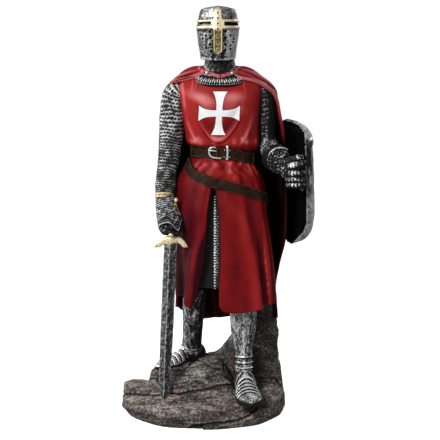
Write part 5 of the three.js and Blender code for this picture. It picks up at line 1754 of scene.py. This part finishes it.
# painted highlights on the strap's front, above and below the fist
setBrushAndLight(strap, 0.05 + 0.9 * (bump((spots[:, 2] - 168.5) / 2.4) + bump((spots[:, 2] - 197) / 3))
          * (spots[:, 1] < -20))
finished(strap, strapPaint, node="shield")
print("shield", len(plate.data.polygons))

# rock
rockSizes = {"long": 121, "deep": 101, "columns": 150, "rows": 126, "voxel": 0.75,
             "wall": ((7, 1.026), (0, 0.975))}  # height and share of the outline, from the rim down
ledgeLine = table([[-62, -8], [-57, -12], [-46.6, -21], [-28.7, -27], [-17.3, -27], [-4, -24], [10.5, -18],
                   [26, -12]])
frontLip = table([[-10, -51], [6, -43.5], [28, -37], [42, -27], [60, -16]])


def rockTop(x, y):
    wave = 0.7 * np.sin(0.21 * x + 0.5 * y + 1) + 0.5 * np.sin(0.47 * x - 0.23 * y)
    low = 7.5 + 0.06 * (y + 40) + 0.4 * wave
    front = 17.4 - 0.035 * x + 0.19 * (y + 29) - 0.16 * np.maximum(0, -x - 30)
    front = np.minimum(front, 21 + 0.06 * np.minimum(x, 20)) + 0.35 * wave
    z = lerp(low, front, rise(y - frontLip(x)[0], -1.5, 3))
    ledge = 22 + 0.06 * np.maximum(0, x + 30) + 0.12 * np.maximum(0, -x - 32) + 0.5 * wave
    falling = ledge - 0.26 * np.maximum(0, y - 2)
    clear = 1 - rise(x, 20, 25) * fall(y, 2, 8)
    z = lerp(z, np.maximum(z, falling), rise(y - ledgeLine(x)[0], -1, 2.5) * clear)
    block = 38.6 + 0.107 * (x + 18.5) + 0.073 * (y + 0.5) + 0.3 * wave * rise(y, 8, 16)
    right = 1 - rise(x, 9, 28) * fall(y, 4, 14)
    back = 1 - 0.5 * rise(y, 17, 32) - 0.45 * rise(y, 32, 44)
    start = lerp(-39, -26, rise(y, -10, 6))
    left = rise((x - 1.15 * np.maximum(0, y + 10) + 43) / (start + 43), 0, 1)
    z = lerp(z, np.maximum(z, block), left * rise(y, -31, -11) * right * back)
    slope = fall(np.hypot((x - 40) / 25, (y - 18) / 20), 0.4, 1.3)
    z = z + 14 * slope * rise(y, -6, 6)
    rightWall = 0.4 * rise(x, 30, 52) * rise(y, -16, 0)
    leftSlab = 0.7 * rise(-x, 36, 50) * bump((y - 4) / 15)
    edge = rise(np.hypot(x / 60, y / 50), 0.88, 1.03) * (1 - np.maximum(rightWall, leftSlab))
    return lerp(z, 11 + 0.3 * wave, 0.8 * edge)


def rockReach(angle):
    return (1 + 0.012 * np.sin(3 * angle + 1) + 0.012 * np.sin(5 * angle + 0.4)
            + 0.012 * np.sin(9 * angle + 2)
            + 0.035 * bump((np.abs(angle) - 3) / 0.16) - 0.02 * bump(angle / 0.5))


def rockForm(u, v):
    a, b = 2 * u - 1, 2 * v - 1
    x = a * np.sqrt(1 - b * b / 2) * rockSizes["long"] / 2
    y = b * np.sqrt(1 - a * a / 2) * rockSizes["deep"] / 2
    grow = 0.975 * rockReach(np.arctan2(y, x))
    return np.stack([x * grow, y * grow, rockTop(x, y)], -1)


# the top, and the wall under its rim, which is extruded from the border
rock = skin("rock", rockSizes["columns"], rockSizes["rows"], rockForm)
for height, grow in rockSizes["wall"]:
    editOpenEdges(rock)
    bpy.ops.mesh.extrude_region_move(TRANSFORM_OT_translate={"value": (0, 0, -mm)})
    done()
    spots = readPoints(rock) / mm
    chosen = np.empty(len(spots), bool)
    rock.data.vertices.foreach_get("select", chosen)
    angle = np.arctan2(spots[:, 1], spots[:, 0])
    if height > 0:
        rimSpots = spots[chosen][:, :2].copy()
    inset = np.where((height == 0) & (rimSpots[:, 0] < 0), 0.95, 1.0)
    layer = height * (1 + 0.2 * np.sin(2 * angle[chosen] + 0.5) + 0.14 * np.sin(5 * angle[chosen]))
    spots[chosen] = np.column_stack([rimSpots * (grow * inset)[:, None], layer])
    writePoints(rock, spots * mm)
closeUp(rock)

pillarSizes = {"low": 14, "high": 80, "columns": 90, "rows": 60}
pillarRows = table([[12, 32, 13, 25, 20], [36, 31.6, 14, 24.8, 17.5], [46, 35, 14.5, 21, 15],
                    [53, 38, 15, 18.6, 13], [64, 42, 17, 12, 12.4], [80, 43.4, 19, 9.4, 12]])


def pillarForm(u, v):
    # the rough post between the rock and the cape
    z = lerp(pillarSizes["low"], pillarSizes["high"], v)
    x, y, long, deep = pillarRows(z)
    angle = 2 * math.pi * u
    reach = 1 + 0.07 * np.sin(3 * angle + z / 9) + 0.05 * np.sin(5 * angle + z / 5)
    return np.stack([x + long * reach * np.cos(angle), y + deep * reach * np.sin(angle), z], -1)


pillar = skin("pillar", pillarSizes["columns"], pillarSizes["rows"], pillarForm, fill=True)
rock = joined("rock", rock, pillar)
change(rock, "REMESH", mode="VOXEL", voxel_size=rockSizes["voxel"] * mm, adaptivity=0.0)

# cracks and crusts of the front where they show from the camera: strokes, width, how deep, how dark; the dark
# of a crack is painted shade
rockStrokes = [
    ([(122, 393.5), (140, 394.8), (152, 395.2), (164, 395)], 0.75, 1.4, 0.6),
    ([(171, 393.2), (178, 394.4), (189, 391.4), (200, 390), (210, 388), (217, 386), (233, 383.8)],
     0.75, 1.4, 0.6),
    ([(172, 389.4), (184, 386), (196, 381.8), (203, 383.6)], 0.6, 0.5, 0.2),
    ([(178, 375.8), (190, 375.6), (200, 377), (214, 379.4)], 0.5, 0.5, 0.25),
    ([(188, 427.6), (200, 426), (217, 424), (236, 420.4), (249, 415.4), (258, 407.6)], 0.9, 1.6, 0.7),
    ([(192, 426), (204, 424.4), (222, 422.6)], 1.4, 0.8, 0.5),
    ([(252, 377.5), (263, 379), (275, 377.6), (281, 386)], 0.8, 1.0, 0.4),
    ([(222, 347), (224, 356), (223.4, 366), (226.5, 376), (233, 381.5)], 0.8, 1.0, 0.4),
    ([(187, 367), (191, 362.6), (197, 359.6), (204, 362.4), (213, 367), (222, 369)], 0.7, 1.0, 0.4),
    ([(150, 378.4), (158, 378), (160, 371), (158.4, 365)], 0.7, 0.8, 0.4),
    ([(196, 405), (206, 408.4), (220, 410.4), (233, 413)], 1.1, -0.5, -0.28),
    ([(216, 427), (236, 423.2), (250, 418.2), (259.4, 410.6)], 0.8, -0.5, -0.3),
    ([(154, 408), (168, 403.4), (184, 404.4), (200, 411)], 0.9, -0.4, -0.2),
    ([(130, 398.5), (142, 400), (158, 401.6), (176, 399)], 1.0, -0.3, -0.16),
    ([(257, 353), (265, 344.6), (276, 334)], 0.6, -0.5, -0.3),
    ([(256, 340.4), (264, 331.6), (271, 326.6)], 0.5, -0.4, -0.22),
    ([(262, 366), (270, 361), (278, 352)], 0.6, -0.3, -0.16),
]


def rockCarving(spots):
    # slabs, cracks and grain: how far each place stands out, and how much it catches the brush, less painted
    # shade in the cracks and on the high block at the right
    out = np.zeros(len(spots))
    catch = np.zeros(len(spots))
    for i, (x, y, z) in enumerate(spots):
        tilt = 0.34 * x + 0.1 * y if x > 12 and z > 26 else -0.1 * x + 0.12 * y
        layer = noise.noise(Vector((x * 0.018, y * 0.018, (z + tilt) * 0.2)))
        seam = noise.noise(Vector((x * 0.022 + 5, y * 0.022, (z + tilt) * 0.15)))
        strength = min(1, max(0, 0.2 + 1.8 * noise.noise(Vector((x * 0.03, y * 0.03, z * 0.03 + 30)))))
        crack = math.exp(-((seam / 0.025) ** 2)) * strength
        broad = noise.fractal(Vector((x, y, z)) * 0.05, 1.0, 2.1, 3)
        streak = noise.noise(Vector((x * 0.11, y * 0.5, (z + tilt) * 0.6)))
        fine = noise.fractal(Vector((x, y, z + 9)) * 0.6, 0.6, 2.0, 3)
        out[i] = 0.6 * layer + 0.4 * broad + 0.22 * fine + 0.3 * streak - 0.7 * crack
        catch[i] = (0.5 + 0.34 * fine + 0.2 * layer + 0.1 * broad + 0.26 * streak - 0.35 * crack
                    - (0.14 if x > 22 and z > 40 else 0))
    return out, catch


spots, normals = readPoints(rock) / mm, readNormals(rock)
out, catch = rockCarving(spots)
x, y, z = spots.T
px, py = frontView(spots)
px, py = px + 0.7 * ripple(spots, 6, 91), py + 0.5 * ripple(spots, 7, 92)
facing = rise(np.maximum(-normals[:, 1] + 0.15 * normals[:, 2], -normals[:, 0] * (x < -40)), -0.05, 0.1)
for strokes, wide, deep, dark in rockStrokes:
    away = lineAway(px, py, strokes)
    grit = 1 if deep > 0 else 0.5 + 0.8 * ripple(spots, 1.8, 93)  # crusts are gritty
    out = out - deep * bump(away / wide) * facing * grit
    catch = catch - 1.2 * dark * bump(away / wide) * facing * grit
    if dark > 0.3:  # the upper lip of a crack gets a painted highlight
        catch = catch + 0.2 * bump(lineAway(px, py + 1.7, strokes) / 0.8) * facing
patch = rise(ripple(spots * [0.5, 1, 1.4], 7, 95), 0.3, 1.2)  # pale crusts in patches
catch = catch + 0.07 * ripple(spots, 15, 94) + 0.2 * patch * (0.6 + 0.6 * ripple(spots, 1.7, 96))
catch = catch - facing * (0.5 * bump(np.hypot((px - 256) / 8, (py - 366) / 8))  # painted shade: the hollow behind the shoe, the face of the block beside it and the right side
                          + 0.22 * rise(px, 223, 225) * fall(px, 236, 242) * rise(py, 338, 344)
                          * fall(py, 372, 382)
                          + 0.05 * rise(px, 232, 246))
catch = 0.47 + 1.3 * (catch - 0.5) - 0.07 * facing * bump((px - 208) / 24) * bump((py - 372) / 16)
spots = spots + normals * np.minimum(out * rise(z, 0.3, 2.5), 0.6)[:, None]
spots[:, 2] = np.maximum(spots[:, 2], 0)
writePoints(rock, spots * mm)
# painted light: faces turned upwards are a little lighter
setBrushAndLight(rock, catch + 0.12 * rise(normals[:, 2], 0.2, 0.9))
editFaces(rock, lambda middle, normal: (middle[:, 2] < 0.05) & (normal[:, 2] < -0.98))
bpy.ops.mesh.dissolve_faces()
done()

coarse = grainOf(rockPaint, 0.06, 5.0, 0.6)
tint = grainOf(rockPaint, 0.035, 3.0, 0.5)
speck = grainOf(rockPaint, 1.1, 3.0, 0.7)
height = stirred(rockPaint, stirred(rockPaint, attribute(rockPaint), speck, 1.7), coarse, 0.3)
stone = ramp(rockPaint, height, [(0.1, (0.005, 0.004, 0.0035)), (0.36, (0.045, 0.037, 0.032)),
                                 (0.6, (0.105, 0.09, 0.08)), (0.95, (0.34, 0.31, 0.285))])
warm = ramp(rockPaint, tint, [(0.44, (1.0, 1.0, 1.0)), (0.62, (1.13, 0.9, 0.88))])
stone = mixed(rockPaint, 0.75, stone, warm, "MULTIPLY")
green = ramp(rockPaint, grainOf(rockPaint, 0.05, 4.0, 0.6, distortion=1.0),
             [(0.52, (1.0, 1.0, 1.0)), (0.66, (0.9, 1.06, 0.86))])
stone = mixed(rockPaint, 0.8, stone, green, "MULTIPLY")
link(rockPaint, stone, rockShader, "Base Color")
roughen(rockPaint, rockShader, height, 0.5, 0.4)
finished(rock, rockPaint)
print("rock", len(rock.data.polygons))

# sizes
size = {"cad": [list(corner) for corner in cadBox], "scene": [list(corner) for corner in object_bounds()]}
